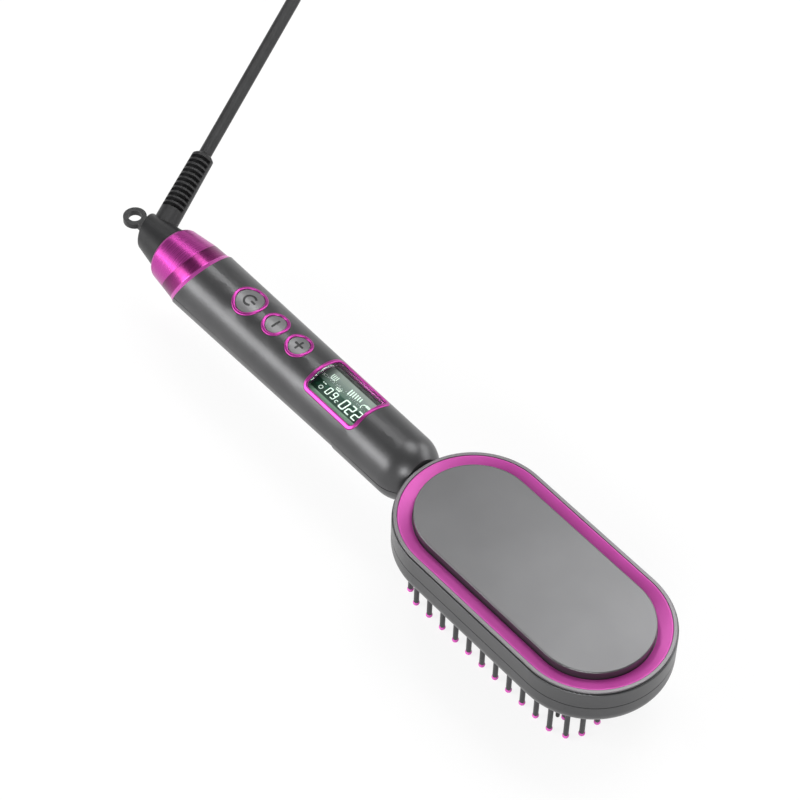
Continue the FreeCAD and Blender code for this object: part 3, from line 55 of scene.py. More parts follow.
# camera at the photograph's viewing angle
cameraView = {
    "place": (0.53647, -0.47876, 0.90807), "turn": (39.9458, -1.3727, 49.2024), "lens": 146.06, "sensor": 36,
}
cameraData = bpy.data.cameras.new("photoCamera")
cameraData.lens = cameraView["lens"]
cameraData.sensor_width = cameraView["sensor"]
camera = bpy.data.objects.new("photoCamera", cameraData)
camera.location = cameraView["place"]
camera.rotation_euler = Euler([math.radians(turn) for turn in cameraView["turn"]], "XYZ")
bpy.context.scene.collection.objects.link(camera)
bpy.context.scene.camera = camera
print("camera placed")

# noise in the finishes: the span that holds nearly all of its values, and how much detail it has
noise = {"low": 0.3, "high": 0.7, "fineDetail": 2.0, "cloudDetail": 3.0}


# small tools for node materials; patterns read Object coordinates in metres
def startMaterial(name, sockets):
    material = bpy.data.materials.new(name)
    material.use_nodes = True
    shader = material.node_tree.nodes["Principled BSDF"]
    for socket, setting in sockets.items():
        shader.inputs[socket].default_value = setting
    return material, material.node_tree, shader


def objectCoords(tree, stretch=(1, 1, 1), turn=(0, 0, 0)):
    coords = tree.nodes.new("ShaderNodeTexCoord")
    mapping = tree.nodes.new("ShaderNodeMapping")
    mapping.inputs["Scale"].default_value = stretch
    mapping.inputs["Rotation"].default_value = turn
    tree.links.new(coords.outputs["Object"], mapping.inputs["Vector"])
    return mapping.outputs["Vector"]


def grain(tree, vector, scale, detail):
    node = tree.nodes.new("ShaderNodeTexNoise")
    node.inputs["Scale"].default_value = scale
    node.inputs["Detail"].default_value = detail
    tree.links.new(vector, node.inputs["Vector"])
    return node.outputs["Fac"]


def splitAxes(tree, vector):
    node = tree.nodes.new("ShaderNodeSeparateXYZ")
    tree.links.new(vector, node.inputs[0])
    return node.outputs


def ramp(tree, factor, stops):
    node = tree.nodes.new("ShaderNodeValToRGB")
    elements = node.color_ramp.elements
    while len(elements) < len(stops):
        elements.new(1.0)
    for element, (at, colour) in zip(elements, stops):
        element.position = at
        element.color = linear(*colour)
    tree.links.new(factor, node.inputs["Fac"])
    return node.outputs["Color"]


def spread(tree, factor, low, high, start=noise["low"], end=noise["high"]):
    node = tree.nodes.new("ShaderNodeMapRange")
    for socket, setting in (("From Min", start), ("From Max", end), ("To Min", low), ("To Max", high)):
        node.inputs[socket].default_value = setting
    tree.links.new(factor, node.inputs["Value"])
    return node.outputs["Result"]


def bumps(tree, height, strength, relief):
    node = tree.nodes.new("ShaderNodeBump")
    node.inputs["Strength"].default_value = strength
    node.inputs["Distance"].default_value = relief
    tree.links.new(height, node.inputs["Height"])
    return node.outputs["Normal"]


# fine grain in the gloss and the relief of a finish
def addGrain(tree, shader, fine, look):
    tree.links.new(spread(tree, fine, *look["rough"]), shader.inputs["Roughness"])
    tree.links.new(bumps(tree, fine, look["bump"], look["relief"]), shader.inputs["Normal"])


# an even finish: soft cloud in the colour and fine grain
def makeFinish(look):
    material, tree, shader = startMaterial(look["name"], look.get("sockets", {}))
    vector = objectCoords(tree)
    cloud = grain(tree, vector, look["cloud"], noise["cloudDetail"])
    shades = ramp(tree, cloud, [(noise["low"], look["dark"]), (noise["high"], look["light"])])
    tree.links.new(shades, shader.inputs["Base Color"])
    addGrain(tree, shader, grain(tree, vector, look["grain"], noise["fineDetail"]), look)
    return material


# a finish whose colour changes along one direction: painted shade and a painted highlight across the turned collar,
# and a painted highlight towards the shell's lip
def makeZonedFinish(look):
    material, tree, shader = startMaterial(look["name"], look["sockets"])
    leaning = objectCoords(tree, turn=(0, math.radians(look["lean"]), 0))
    along = spread(tree, splitAxes(tree, leaning)[look["axis"]], 0, 1, look["start"], look["end"])
    tree.links.new(ramp(tree, along, look["zones"]), shader.inputs["Base Color"])
    streaks = grain(tree, objectCoords(tree, look["stretch"]), look["grain"], noise["cloudDetail"])
    addGrain(tree, shader, streaks, look)
    return material


# one finish for each of the record's material slots
finishes = {
    "shell_grey": {
        "name": "gunmetalPaint", "dark": (72, 72, 73), "light": (80, 80, 81), "cloud": 70, "grain": 7000,
        "rough": (0.33, 0.40), "bump": 0.10, "relief": 0.00003,
        "sockets": {"Metallic": 0.7, "Coat Weight": 0.1, "Coat Roughness": 0.25}},
    "trim_pink": {
        "name": "pinkMetal", "dark": (168, 56, 142), "light": (182, 68, 154), "cloud": 50, "grain": 3000,
        "rough": (0.30, 0.38), "bump": 0.05, "relief": 0.00003, "sockets": {"Metallic": 0.9}},
    "plate_satin": {
        "name": "satinPlate", "dark": (96, 96, 97), "light": (102, 102, 103), "cloud": 40, "grain": 5000,
        "rough": (0.30, 0.36), "bump": 0.08, "relief": 0.00003, "sockets": {"Metallic": 0.8}},
    "bristle_grey": {
        "name": "bristlePlastic", "dark": (38, 38, 40), "light": (50, 50, 52), "cloud": 120, "grain": 2500,
        "rough": (0.38, 0.48), "bump": 0.10, "relief": 0.00004},
    "heater_alloy": {
        "name": "castAlloy", "dark": (160, 160, 162), "light": (182, 182, 184), "cloud": 150, "grain": 3000,
        "rough": (0.34, 0.46), "bump": 0.15, "relief": 0.00005, "sockets": {"Metallic": 1.0}},
    "heater_ceramic": {
        "name": "heaterCeramic", "dark": (214, 209, 197), "light": (230, 226, 215), "cloud": 200, "grain": 2500,
        "rough": (0.55, 0.7), "bump": 0.15, "relief": 0.00005},
    "screw_steel": {
        "name": "screwSteel", "dark": (158, 158, 160), "light": (180, 180, 182), "cloud": 300, "grain": 5000,
        "rough": (0.24, 0.36), "bump": 0.08, "relief": 0.00003, "sockets": {"Metallic": 1.0}},
    "mica": {
        "name": "micaSheet", "dark": (176, 154, 108), "light": (206, 186, 142), "cloud": 400, "grain": 1500,
        "rough": (0.3, 0.5), "bump": 0.2, "relief": 0.00005},
    "button_grey": {
        "name": "keyPlastic", "dark": (114, 114, 115), "light": (122, 122, 123), "cloud": 150, "grain": 6000,
        "rough": (0.34, 0.42), "bump": 0.08, "relief": 0.00003, "sockets": {"Metallic": 0.45}},
    "inner_black": {
        "name": "blackMoulding", "dark": (26, 26, 28), "light": (36, 36, 38), "cloud": 200, "grain": 4000,
        "rough": (0.45, 0.6), "bump": 0.15, "relief": 0.00004},
    "inner_white": {
        "name": "whiteMoulding", "dark": (222, 222, 217), "light": (234, 234, 230), "cloud": 150, "grain": 4000,
        "rough": (0.45, 0.55), "bump": 0.1, "relief": 0.00003},
    "board_green": {
        "name": "boardLacquer", "dark": (16, 74, 42), "light": (30, 104, 60), "cloud": 900, "grain": 2500,
        "rough": (0.3, 0.42), "bump": 0.25, "relief": 0.00004},
    "wire_red": {
        "name": "wireSleeve", "dark": (158, 24, 26), "light": (184, 36, 36), "cloud": 250, "grain": 4000,
        "rough": (0.4, 0.5), "bump": 0.1, "relief": 0.00003},
    "contact_brass": {
        "name": "contactBrass", "dark": (184, 146, 72), "light": (208, 172, 96), "cloud": 400, "grain": 5000,
        "rough": (0.22, 0.34), "bump": 0.06, "relief": 0.00003, "sockets": {"Metallic": 1.0}},
    "tail_black": {
        "name": "tailPlastic", "dark": (27, 27, 28), "light": (35, 35, 36), "cloud": 120, "grain": 4500,
        "rough": (0.33, 0.43), "bump": 0.15, "relief": 0.00004, "sockets": {"Specular IOR Level": 0.35}},
    "cord_black": {
        "name": "cordRubber", "dark": (30, 30, 31), "light": (39, 39, 40), "cloud": 160, "grain": 3500,
        "rough": (0.38, 0.5), "bump": 0.15, "relief": 0.00004, "sockets": {"Specular IOR Level": 0.3}},
    "pin_metal": {
        "name": "pinNickel", "dark": (182, 179, 170), "light": (204, 201, 192), "cloud": 200, "grain": 4000,
        "rough": (0.18, 0.28), "bump": 0.05, "relief": 0.00003, "sockets": {"Metallic": 1.0}},
}
# finishes of single pieces
ringFinish = {
    "name": "pinkLacquer", "dark": (180, 62, 150), "light": (192, 72, 162), "cloud": 50, "grain": 3500,
    "rough": (0.36, 0.44), "bump": 0.06, "relief": 0.00003, "sockets": {"Metallic": 0.3},
}
toothFinish = {
    "name": "coatedTeeth", "dark": (34, 34, 35), "light": (44, 44, 45), "cloud": 200, "grain": 3000,
    "rough": (0.36, 0.46), "bump": 0.1, "relief": 0.00004, "sockets": {"Metallic": 0.4},
}
tipFinish = {
    "name": "pinkTips", "dark": (206, 76, 176), "light": (226, 96, 196), "cloud": 200, "grain": 3000,
    "rough": (0.3, 0.4), "bump": 0.06, "relief": 0.00003,
}
# turned collar: a satin cone, a band darkened with painted shade and a rim lightened with a painted highlight,
# parted on the slanted planes of the solid
collarPaintedLightFinish = {
    "name": "turnedPinkPaintedLight", "lean": -24.23, "axis": "X", "start": -0.1160, "end": -0.0997,
    # painted shade on the band between step and rim, painted highlight on the rim
    "zones": [(0.0, (180, 64, 152)), (0.555, (180, 64, 152)), (0.57, (112, 36, 90)), (0.89, (140, 46, 114)),
              (0.91, (204, 84, 176)), (1.0, (204, 84, 176))],
    "stretch": (2600, 18, 18), "grain": 1.0, "rough": (0.25, 0.33), "bump": 0.06, "relief": 0.00003,
    "sockets": {"Metallic": 0.9},
}
# head shell: gunmetal side lightened towards the top by a painted highlight, palest on the lip that frames the pink
# ring
lipPaintedHighlightFinish = {
    "name": "gunmetalLipPaintedHighlight", "lean": 0, "axis": "Z", "start": 0.0280, "end": 0.0371,
    # painted highlight: the zones lighten the side towards the top and most on the lip
    "zones": [(0.0, (74, 74, 75)), (0.9, (80, 80, 81)), (0.955, (84, 84, 85)), (0.975, (108, 105, 108)),
              (1.0, (114, 111, 114))],
    "stretch": (1, 1, 1), "grain": 7000, "rough": (0.33, 0.40), "bump": 0.1, "relief": 0.00003,
    "sockets": {"Metallic": 0.7, "Coat Weight": 0.1, "Coat Roughness": 0.25},
}

# display face: bands across the panel, green under the figures and pale above them, with a dark band of painted
# shade at the far edge and painted shade towards the tail end
displayFace = {
    "name": "displayFace", "width": 0.0144,
    # the last band is painted shade where the window's wall shades the panel's far edge
    "bands": [(0.0, (120, 150, 130)), (0.115, (140, 172, 150)), (0.135, (20, 60, 44)), (0.44, (24, 68, 52)),
              (0.46, (96, 120, 110)), (0.62, (118, 134, 127)), (0.8, (164, 172, 168)), (0.905, (180, 186, 182)),
              (0.92, (34, 38, 36))],
    # the tail end of the panel is darkened by painted shade
    "tailStart": -0.0300, "tailEnd": -0.0255, "tailPaintedShade": (118, 116, 118), "headShade": (255, 255, 255),
    "sockets": {"Roughness": 0.3, "Emission Strength": 0.18},
}


def makeDisplayFace(face):
    material, tree, shader = startMaterial(face["name"], face["sockets"])
    axes = splitAxes(tree, objectCoords(tree))
    across = spread(tree, axes["Y"], 0, 1, -face["width"] / 2, face["width"] / 2)
    # painted shade: the panel darkens towards its tail end
    along = spread(tree, axes["X"], 0, 1, face["tailStart"], face["tailEnd"])
    shade = ramp(tree, along, [(0.0, face["tailPaintedShade"]), (1.0, face["headShade"])])
    mix = tree.nodes.new("ShaderNodeMix")
    mix.data_type = "RGBA"
    mix.blend_type = "MULTIPLY"
    mix.inputs["Factor"].default_value = 1.0
    tree.links.new(ramp(tree, across, face["bands"]), mix.inputs["A"])
    tree.links.new(shade, mix.inputs["B"])
    for socket in ("Base Color", "Emission Color"):
        tree.links.new(mix.outputs["Result"], shader.inputs[socket])
    return material


# clear window over the display, with a faint smear in its gloss
displayWindow = {
    "name": "clearWindow", "smear": 180, "rough": (0.01, 0.05),
    "sockets": {"Transmission Weight": 1.0, "IOR": 1.2, "Base Color": linear(236, 242, 238)},
}


def makeWindow(window):
    material, tree, shader = startMaterial(window["name"], window["sockets"])
    smear = grain(tree, objectCoords(tree), window["smear"], noise["cloudDetail"])
    tree.links.new(spread(tree, smear, *window["rough"]), shader.inputs["Roughness"])
    return material


def dress(piece, material):
    if not piece.material_slots:
        piece.data.materials.append(material)
    for slot in piece.material_slots:
        slot.material = material


def finishMesh(mesh, name):
    data = bpy.data.meshes.new(name)
    mesh.to_mesh(data)
    mesh.free()
    made = bpy.data.objects.new(name, data)
    bpy.context.scene.collection.objects.link(made)
    return made


slotFinishes = {slot: makeFinish(look) for slot, look in finishes.items()}
slotFinishes["lcd_dark"] = makeDisplayFace(displayFace)
slotFinishes["lens_clear"] = makeWindow(displayWindow)
ownFinishes = {
    "head_trim_ring": makeFinish(ringFinish),
    "heating_teeth": makeFinish(toothFinish),
    "bristle_tips": makeFinish(tipFinish),
    "tail_collar": makeZonedFinish(collarPaintedLightFinish),
    "head_upper_shell": makeZonedFinish(lipPaintedHighlightFinish),
}
for part in frame["record"]["subparts"]:
    dress(nodes[part["node"]], ownFinishes.get(part["node"], slotFinishes[part["material_slot"]]))
print("finishes made:", len(slotFinishes) + len(ownFinishes))

# mains cord: out of the boot, down to the floor and into its coil
cordRoute = {
    "radius": 0.0025, "length": 1.64,
    "points": [
        (-0.13835, 0.03464, 0.03747), (-0.15924, 0.08134, 0.04834), (-0.17877, 0.12500, 0.05851),
        (-0.2130, 0.1400, 0.0270), (-0.2440, 0.1410, 0.0090), (-0.2740, 0.1370, 0.0034), (-0.3010, 0.1360, 0.0034),
    ],
    "turns": 7.25, "coilRadius": 0.040, "pitch": 0.0056, "reverse": 0.25, "pointsPerTurn": 16,
    "exitLevel": 0.008, "exitRun": 0.028, "exitBend": 0.25, "plugAxis": 0.00685,
    "roundness": 5, "smoothness": 5,
}


def coilPlace(route):
    points = [Vector(point) for point in route["points"]]
    heading = (points[-1] - points[-2]).normalized()
    start = points[-1] + heading * 2 * route["radius"]
    lean = math.atan2(route["pitch"], fullTurn * route["coilRadius"])
    startAngle = math.atan2(heading.y, heading.x) - math.pi / 2 - lean
    middle = start - Vector((math.cos(startAngle), math.sin(startAngle), 0)) * route["coilRadius"]
    return middle, startAngle


# a spiral inwards on the floor, then outwards again on top of it
def coilPoints(route):
    middle, startAngle = coilPlace(route)
    half, reverse = route["turns"] / 2, route["reverse"]
    found = []
    steps = round(route["turns"] * route["pointsPerTurn"])
    for step in range(steps + 1):
        turn = route["turns"] * step / steps
        fromMiddle = turn - half
        inward = half - abs(fromMiddle)
        climb = 0 if fromMiddle < 0 else 1
        if abs(fromMiddle) < reverse:  # the half turn where the spiral turns back and climbs
            inward = half - reverse / 2 - fromMiddle ** 2 / (2 * reverse)
            climb = (1 + math.sin(math.pi / 2 * fromMiddle / reverse)) / 2
        reach = route["coilRadius"] - route["pitch"] * inward
        angle = startAngle + fullTurn * turn
        found.append(middle + Vector((reach * math.cos(angle), reach * math.sin(angle), climb * route["pitch"])))
    return found


# the last stretch leaves the coil on its tangent and comes down to the plug
def exitPoints(route, last):
    endAngle = coilPlace(route)[1] + fullTurn * route["turns"]
    outward = Vector((math.cos(endAngle), math.sin(endAngle), 0))
    around = Vector((-outward.y, outward.x, 0))
    wayOut = (outward * route["pitch"] + around * fullTurn * route["coilRadius"]).normalized()
    drop = Vector((0, 0, last.z - route["plugAxis"]))
    level, run, bend = route["exitLevel"], route["exitRun"], route["exitBend"]
    return [
        last + wayOut * (level + run * bend),
        last + wayOut * (level + run * (1 - bend)) - drop,
        last + wayOut * (level + run + 2 * route["radius"]) - drop,
    ]


def makeCord(route):
    turns = coilPoints(route)
    line = [Vector(point) for point in route["points"]] + turns + exitPoints(route, turns[-1])
    curve = bpy.data.curves.new("mainsCord", "CURVE")
    curve.dimensions = "3D"
    curve.bevel_depth = 1.0  # the points' own radius gives the thickness
    curve.bevel_resolution = route["roundness"]
    curve.resolution_u = route["smoothness"]
    curve.use_fill_caps = True
    spline = curve.splines.new("NURBS")
    spline.points.add(len(line) - 1)
    for control, place in zip(spline.points, line):
        control.co = (*place, 1)
        control.radius = route["radius"]
    spline.order_u = 3
    spline.use_endpoint_u = True
    cord = bpy.data.objects.new("mainsCord", curve)
    bpy.context.scene.collection.objects.link(cord)
    return cord


# woven strap that holds the turns together
coilTie = {
    "angle": 300, "width": 0.0064, "thickness": 0.0006, "inner": 0.0176, "low": 0.0008, "high": 0.0114,
    "corner": 0.0024, "cornerSteps": 6, "slack": 0.0002,
    "weave": {"name": "strapWeave", "dark": (22, 22, 23), "light": (46, 46, 47), "cloud": 2200, "grain": 1400,
              "rough": (0.6, 0.75), "bump": 0.5, "relief": 0.0001},
}


def makeTie(tie, route):
    middle, startAngle = coilPlace(route)
    angle = math.radians(tie["angle"])
    firstTurn = (angle - startAngle) / fullTurn % 1
    lastTurn = (startAngle + fullTurn * route["turns"] - angle) / fullTurn % 1
    outer = route["coilRadius"] - route["pitch"] * min(firstTurn, lastTurn) + route["radius"] + tie["slack"]
    mesh = bmesh.new()
    corners = bmesh.ops.create_grid(mesh, x_segments=1, y_segments=1, size=0.5)["verts"]
    size = Matrix.Diagonal((outer - tie["inner"], tie["high"] - tie["low"], 1, 1))
    bmesh.ops.transform(mesh, matrix=size, verts=corners)
    bmesh.ops.bevel(mesh, geom=corners, offset=tie["corner"], offset_type="OFFSET", segments=tie["cornerSteps"],
                    profile=0.5, affect="VERTICES", material=-1)
    bmesh.ops.delete(mesh, geom=list(mesh.faces), context="FACES_ONLY")  # only the loop stays
    grown = bmesh.ops.extrude_edge_only(mesh, edges=list(mesh.edges))["geom"]
    moved = [item for item in grown if isinstance(item, bmesh.types.BMVert)]
    bmesh.ops.translate(mesh, verts=moved, vec=(0, 0, tie["width"]))
    bmesh.ops.recalc_face_normals(mesh, faces=list(mesh.faces))
    bmesh.ops.solidify(mesh, geom=list(mesh.faces), thickness=-tie["thickness"])
    bmesh.ops.recalc_face_normals(mesh, faces=list(mesh.faces))
    upright = Matrix.Translation(((outer + tie["inner"]) / 2, tie["width"] / 2, (tie["high"] + tie["low"]) / 2))
    upright = upright @ Matrix.Rotation(math.pi / 2, 4, "X")
    place = Matrix.Translation((middle.x, middle.y, 0)) @ Matrix.Rotation(angle, 4, "Z") @ upright
    bmesh.ops.transform(mesh, matrix=place, verts=list(mesh.verts))
    strap = finishMesh(mesh, "coilTie")
    dress(strap, makeFinish(tie["weave"]))
    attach(strap, "tail")
    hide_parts("cord_tie")
    return strap


tieStrap = makeTie(coilTie, cordRoute)
mainsCord = makeCord(cordRoute)
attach(mainsCord, "tail")
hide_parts("cord_lead", "cord_coil")
dress(mainsCord, slotFinishes["cord_black"])
print("cord laid")


# flat shapes for the signs on the keys and the display
def flatBar(mesh, start, end, width, steps, clip):
    start, end = Vector((*start, 0)), Vector((*end, 0))
    run = end - start
    made = bmesh.ops.create_grid(mesh, x_segments=steps, y_segments=2, size=0.5)["verts"]
    turn = Matrix.Rotation(math.atan2(run.y, run.x), 4, "Z")
    fit = Matrix.Translation((start + end) / 2) @ turn @ Matrix.Diagonal((run.length, width, 1, 1))
    bmesh.ops.transform(mesh, matrix=fit, verts=made)
    corners = [vert for vert in made if len(vert.link_faces) == 1]
    bmesh.ops.bevel(mesh, geom=corners, offset=clip * width, offset_type="OFFSET", segments=2, profile=0.5,
                    affect="VERTICES", material=-1)


def flatArc(mesh, middle, radius, width, first, sweep, steps):
    middle = Vector((*middle, 0))
    ends = [mesh.verts.new((radius + side * width / 2, 0, 0)) for side in (-1, 1)]
    edge = mesh.edges.new(ends)
    place = Matrix.Translation(middle) @ Matrix.Rotation(first, 4, "Z")
    bmesh.ops.transform(mesh, matrix=place, verts=ends)
    bmesh.ops.spin(mesh, geom=ends + [edge], cent=middle, axis=(0, 0, 1), angle=sweep, steps=steps,
                   use_merge=sweep >= fullTurn, use_duplicate=False)


# lift a flat shape onto its surface, give it a little depth and let it ride
def laySign(mesh, name, body, material, height, depth):
    for vert in mesh.verts:
        vert.co.z = height(vert.co)
    grown = bmesh.ops.extrude_face_region(mesh, geom=list(mesh.faces), use_keep_orig=True)["geom"]
    sunk = [item for item in grown if isinstance(item, bmesh.types.BMVert)]
    bmesh.ops.translate(mesh, verts=sunk, vec=(0, 0, -depth))
    bmesh.ops.recalc_face_normals(mesh, faces=list(mesh.faces))
    sign = finishMesh(mesh, name)
    dress(sign, material)
    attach(sign, body)


# dark signs on the three keys, laid on the handle's round skin
keySigns = {
    "axisHeight": 0.0294, "proud": 0.00003, "depth": 0.0002, "stroke": 0.00088, "clip": 0.3,
    "arcSteps": 36, "acrossSteps": 8, "alongSteps": 2,
    "power": {"at": -0.06835, "skin": 0.012939, "ring": 0.0022, "opening": 1.5, "bar": (0.0006, 0.0028)},
    "minus": {"at": -0.05385, "skin": 0.012855, "arm": 0.0020},
    "plus": {"at": -0.04095, "skin": 0.012780, "arm": 0.0021},
    "ink": {"name": "signInk", "dark": (18, 18, 19), "light": (26, 26, 27), "cloud": 400, "grain": 5000,
            "rough": (0.4, 0.5), "bump": 0.1, "relief": 0.00002},
}


def makeKeySigns(signs):
    ink = makeFinish(signs["ink"])
    stroke, clip, alongSteps = signs["stroke"], signs["clip"], signs["alongSteps"]
    lift = signs["axisHeight"] + signs["proud"]
    for key in ("power", "minus", "plus"):
        sign = signs[key]
        at, skin = sign["at"], sign["skin"]
        mesh = bmesh.new()
        if key == "power":
            opening = sign["opening"]
            flatArc(mesh, (at, 0), sign["ring"], stroke, opening / 2, fullTurn - opening, signs["arcSteps"])
            flatBar(mesh, (at + sign["bar"][0], 0), (at + sign["bar"][1], 0), stroke, alongSteps, clip)
        else:
            arm = sign["arm"]
            flatBar(mesh, (at, -arm), (at, arm), stroke, signs["acrossSteps"], clip)
        if key == "plus":
            for side in (-1, 1):
                flatBar(mesh, (at + side * stroke / 2, 0), (at + side * arm, 0), stroke, alongSteps, clip)
        laySign(mesh, key + "Sign", key + "_key", ink,
                lambda spot: lift + math.sqrt(skin ** 2 - spot.y ** 2), signs["depth"])


makeKeySigns(keySigns)
print("key signs laid")

# figures and marks on the display: they read from the head to the tail, with their tops towards -Y
displayMarks = {
    "top": 0.0366, "proud": 0.00004, "depth": 0.00006, "clip": 0.4,
    "strokes": {"0": "abcdef", "2": "abged", "6": "acdefg"},
    "figures": [
        {"text": "220", "left": -0.0054, "base": -0.0003, "wide": 0.0021, "tall": 0.0041, "pitch": 0.00335,
         "stroke": 0.00055},
        {"text": "60", "left": -0.0177, "base": -0.0010, "wide": 0.0015, "tall": 0.0030, "pitch": 0.0029,
         "stroke": 0.00042},
    ],
    "rounds": [
        {"middle": (-0.0247, -0.0034), "radius": 0.00075, "width": 0.00025, "first": 0.6, "sweep": fullTurn,
         "steps": 20},
        {"middle": (-0.0161, -0.0036), "radius": 0.00055, "width": 0.00028, "first": 0.6, "sweep": 4.6,
         "steps": 20},
    ],
    "dashes": [((-0.0242, -0.0012), (-0.0252, -0.0012)), ((-0.0254, -0.0012), (-0.0260, -0.0012))],
    "dashWidth": 0.0004,
    "bars": {"first": -0.0161, "pitch": 0.00108, "count": 6, "top": 0.0014, "drop": 0.0002, "long": 0.0028,
             "short": 0.0017, "lean": 0.0003, "width": 0.00052},
    "combs": [
        {"first": -0.0259, "pitch": 0.0008, "count": 4, "top": 0.0020, "long": 0.0021, "width": 0.00036},
        {"first": -0.0207, "pitch": 0.0007, "count": 4, "top": 0.0001, "long": 0.0010, "width": 0.00034},
    ],
    "flag": {"middle": (-0.0068, 0.0030), "reach": 0.0011, "thick": 0.0009, "clip": 0.5,
             "hook": {"width": 0.0003, "first": 1.2, "sweep": 3.0, "steps": 16}},
    "ink": {"name": "displayInk", "dark": (232, 244, 238), "light": (242, 252, 246), "cloud": 300, "grain": 3000,
            "rough": (0.4, 0.5), "bump": 0.05, "relief": 0.00001,
            "sockets": {"Emission Color": linear(235, 246, 240), "Emission Strength": 0.62}},
    "paleInk": {"name": "displayPaleInk", "dark": (214, 224, 218), "light": (226, 236, 230), "cloud": 300,
                "grain": 3000, "rough": (0.4, 0.5), "bump": 0.05, "relief": 0.00001,
                "sockets": {"Emission Color": linear(230, 240, 234), "Emission Strength": 0.7}},
}


# ends of a figure's strokes, named a to g as on any seven-bar figure
def figureBars(strokes, left, figure):
    spots = {"a": ((0, 1), (1, 1)), "b": ((1, 1), (1, 0.5)), "c": ((1, 0.5), (1, 0)), "d": ((0, 0), (1, 0)),
             "e": ((0, 0), (0, 0.5)), "f": ((0, 0.5), (0, 1)), "g": ((0, 0.5), (1, 0.5))}
    for stroke in strokes:
        yield [(left - figure["wide"] * along, figure["base"] - figure["tall"] * up) for along, up in spots[stroke]]


def drawFigures(mesh, marks):
    for figure in marks["figures"]:
        for place, digit in enumerate(figure["text"]):
            left = figure["left"] - place * figure["pitch"]
            for start, end in figureBars(marks["strokes"][digit], left, figure):
                flatBar(mesh, start, end, figure["stroke"], 1, marks["clip"])
    for mark in marks["rounds"]:
        flatArc(mesh, mark["middle"], mark["radius"], mark["width"], mark["first"], mark["sweep"], mark["steps"])
    for start, end in marks["dashes"]:
        flatBar(mesh, start, end, marks["dashWidth"], 1, marks["clip"])


def drawBars(mesh, marks):
    bars, clip = marks["bars"], marks["clip"]
    for step in range(bars["count"]):
        at = bars["first"] + step * bars["pitch"]
        top = bars["top"] + bars["drop"] * step
        long = bars["long"] + (bars["short"] - bars["long"]) * step / (bars["count"] - 1)
        flatBar(mesh, (at, top), (at - bars["lean"], top + long), bars["width"], 1, clip)
    for comb in marks["combs"]:
        top, width = comb["top"], comb["width"]
        places = [comb["first"] + step * comb["pitch"] for step in range(comb["count"])]
        flatBar(mesh, (places[0], top), (places[-1], top), width, 1, clip)
        for at in places:
            flatBar(mesh, (at, top + width), (at, top + comb["long"]), width, 1, clip)
    flag = marks["flag"]
    (x, y), reach, hook = flag["middle"], flag["reach"], flag["hook"]
    flatBar(mesh, (x - reach, y), (x + reach, y), flag["thick"], 2, flag["clip"])
    flatArc(mesh, (x - reach, y - reach), reach, hook["width"], hook["first"], hook["sweep"], hook["steps"])


def makeDisplayMarks(marks):
    level = marks["top"] + marks["proud"]
    for name, draw, ink in (("displayFigures", drawFigures, "ink"), ("displayBars", drawBars, "paleInk")):
        mesh = bmesh.new()
        draw(mesh, marks)
        laySign(mesh, name, "comb", makeFinish(marks[ink]), lambda spot: level, marks["depth"])


makeDisplayMarks(displayMarks)
print("display drawn")

# white floor, pale sky and soft studio light; a lamp's name, place, aim, size and power
studio = {
    "floor": 3.0, "floorTint": (250, 250, 250), "floorRough": 0.9, "floorShow": 0.84,
    "sky": [(0.0, (255, 255, 255)), (0.10, (252, 252, 252)), (0.42, (162, 162, 162)), (0.7, (128, 128, 128)),
            (1.0, (128, 128, 128))],
    "lamps": [
        ("farBox", (-0.04, 0.40, 0.74), (0.08, 0.0, 0.03), (0.48, 0.40), 2.8),
        ("tailBox", (-0.55, 0.20, 0.70), (-0.09, 0.0, 0.035), (0.22, 0.26), 1.4),
        ("nearStrip", (-0.44, -0.71, 0.36), (-0.04, 0.0, 0.035), (0.60, 0.38), 5.2),
        ("frontBox", (0.85, -0.72, 0.64), (0.03, 0.0, 0.03), (0.42, 0.42), 6.2),
        ("backBox", (0.30, 0.95, 0.45), (0.0, 0.0, 0.03), (0.80, 0.40), 4.0),
    ],
}


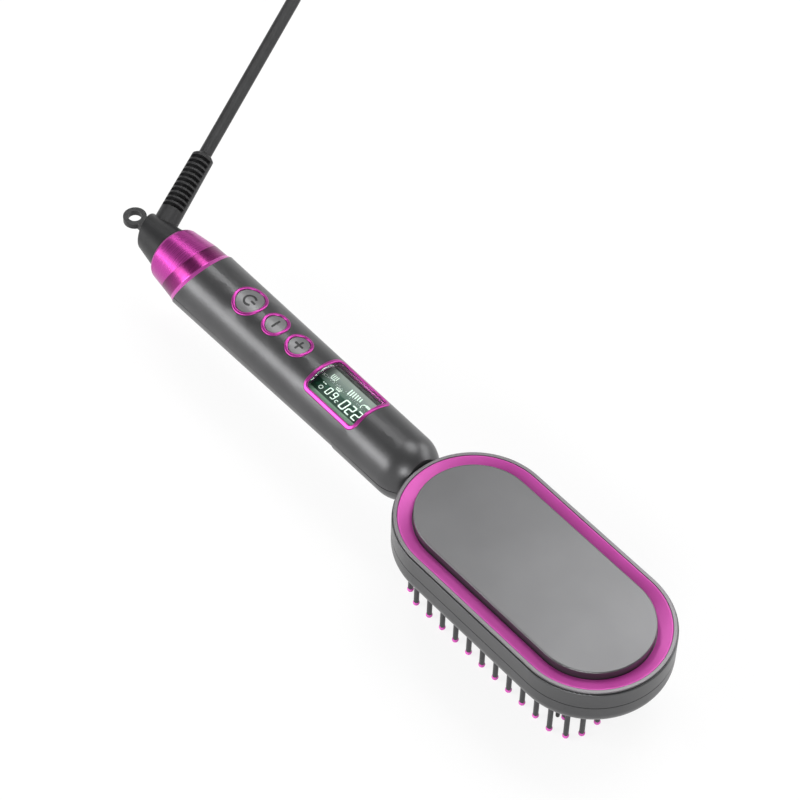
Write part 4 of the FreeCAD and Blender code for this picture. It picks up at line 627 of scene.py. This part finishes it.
# the floor shows white, also in gloss and glass, and keeps part of its shading for the shadow
def makeFloor(settings):
    mesh = bmesh.new()
    bmesh.ops.create_grid(mesh, x_segments=1, y_segments=1, size=settings["floor"])
    floor = finishMesh(mesh, "floor")
    material, tree, shader = startMaterial("whiteFloor", {"Base Color": linear(*settings["floorTint"]),
                                                          "Roughness": settings["floorRough"]})
    glow = tree.nodes.new("ShaderNodeEmission")
    glow.inputs["Strength"].default_value = 1.0
    path = tree.nodes.new("ShaderNodeLightPath")
    seen = path.outputs["Is Camera Ray"]
    for ray in ("Is Glossy Ray", "Is Transmission Ray"):
        either = tree.nodes.new("ShaderNodeMath")
        either.operation = "MAXIMUM"
        tree.links.new(seen, either.inputs[0])
        tree.links.new(path.outputs[ray], either.inputs[1])
        seen = either.outputs[0]
    share = tree.nodes.new("ShaderNodeMath")
    share.operation = "MULTIPLY"
    share.inputs[1].default_value = settings["floorShow"]
    mix = tree.nodes.new("ShaderNodeMixShader")
    tree.links.new(seen, share.inputs[0])
    tree.links.new(share.outputs[0], mix.inputs[0])
    tree.links.new(shader.outputs[0], mix.inputs[1])
    tree.links.new(glow.outputs[0], mix.inputs[2])
    tree.links.new(mix.outputs[0], tree.nodes["Material Output"].inputs["Surface"])
    dress(floor, material)


def makeLight(settings):
    world = bpy.data.worlds.new("studioWorld")
    bpy.context.scene.world = world
    world.use_nodes = True
    tree = world.node_tree
    coords = tree.nodes.new("ShaderNodeTexCoord")
    height = splitAxes(tree, coords.outputs["Generated"])["Z"]
    tree.links.new(ramp(tree, height, settings["sky"]), tree.nodes["Background"].inputs["Color"])
    for name, place, aim, size, power in settings["lamps"]:
        light = bpy.data.lights.new(name, "AREA")
        light.shape = "RECTANGLE"
        light.size, light.size_y = size
        light.energy = power
        lamp = bpy.data.objects.new(name, light)
        lamp.location = place
        lamp.rotation_euler = (Vector(aim) - Vector(place)).to_track_quat("-Z", "Y").to_euler()
        bpy.context.scene.collection.objects.link(lamp)


makeFloor(studio)
makeLight(studio)
print("studio lit")

bpy.context.scene.view_settings.view_transform = "Standard"
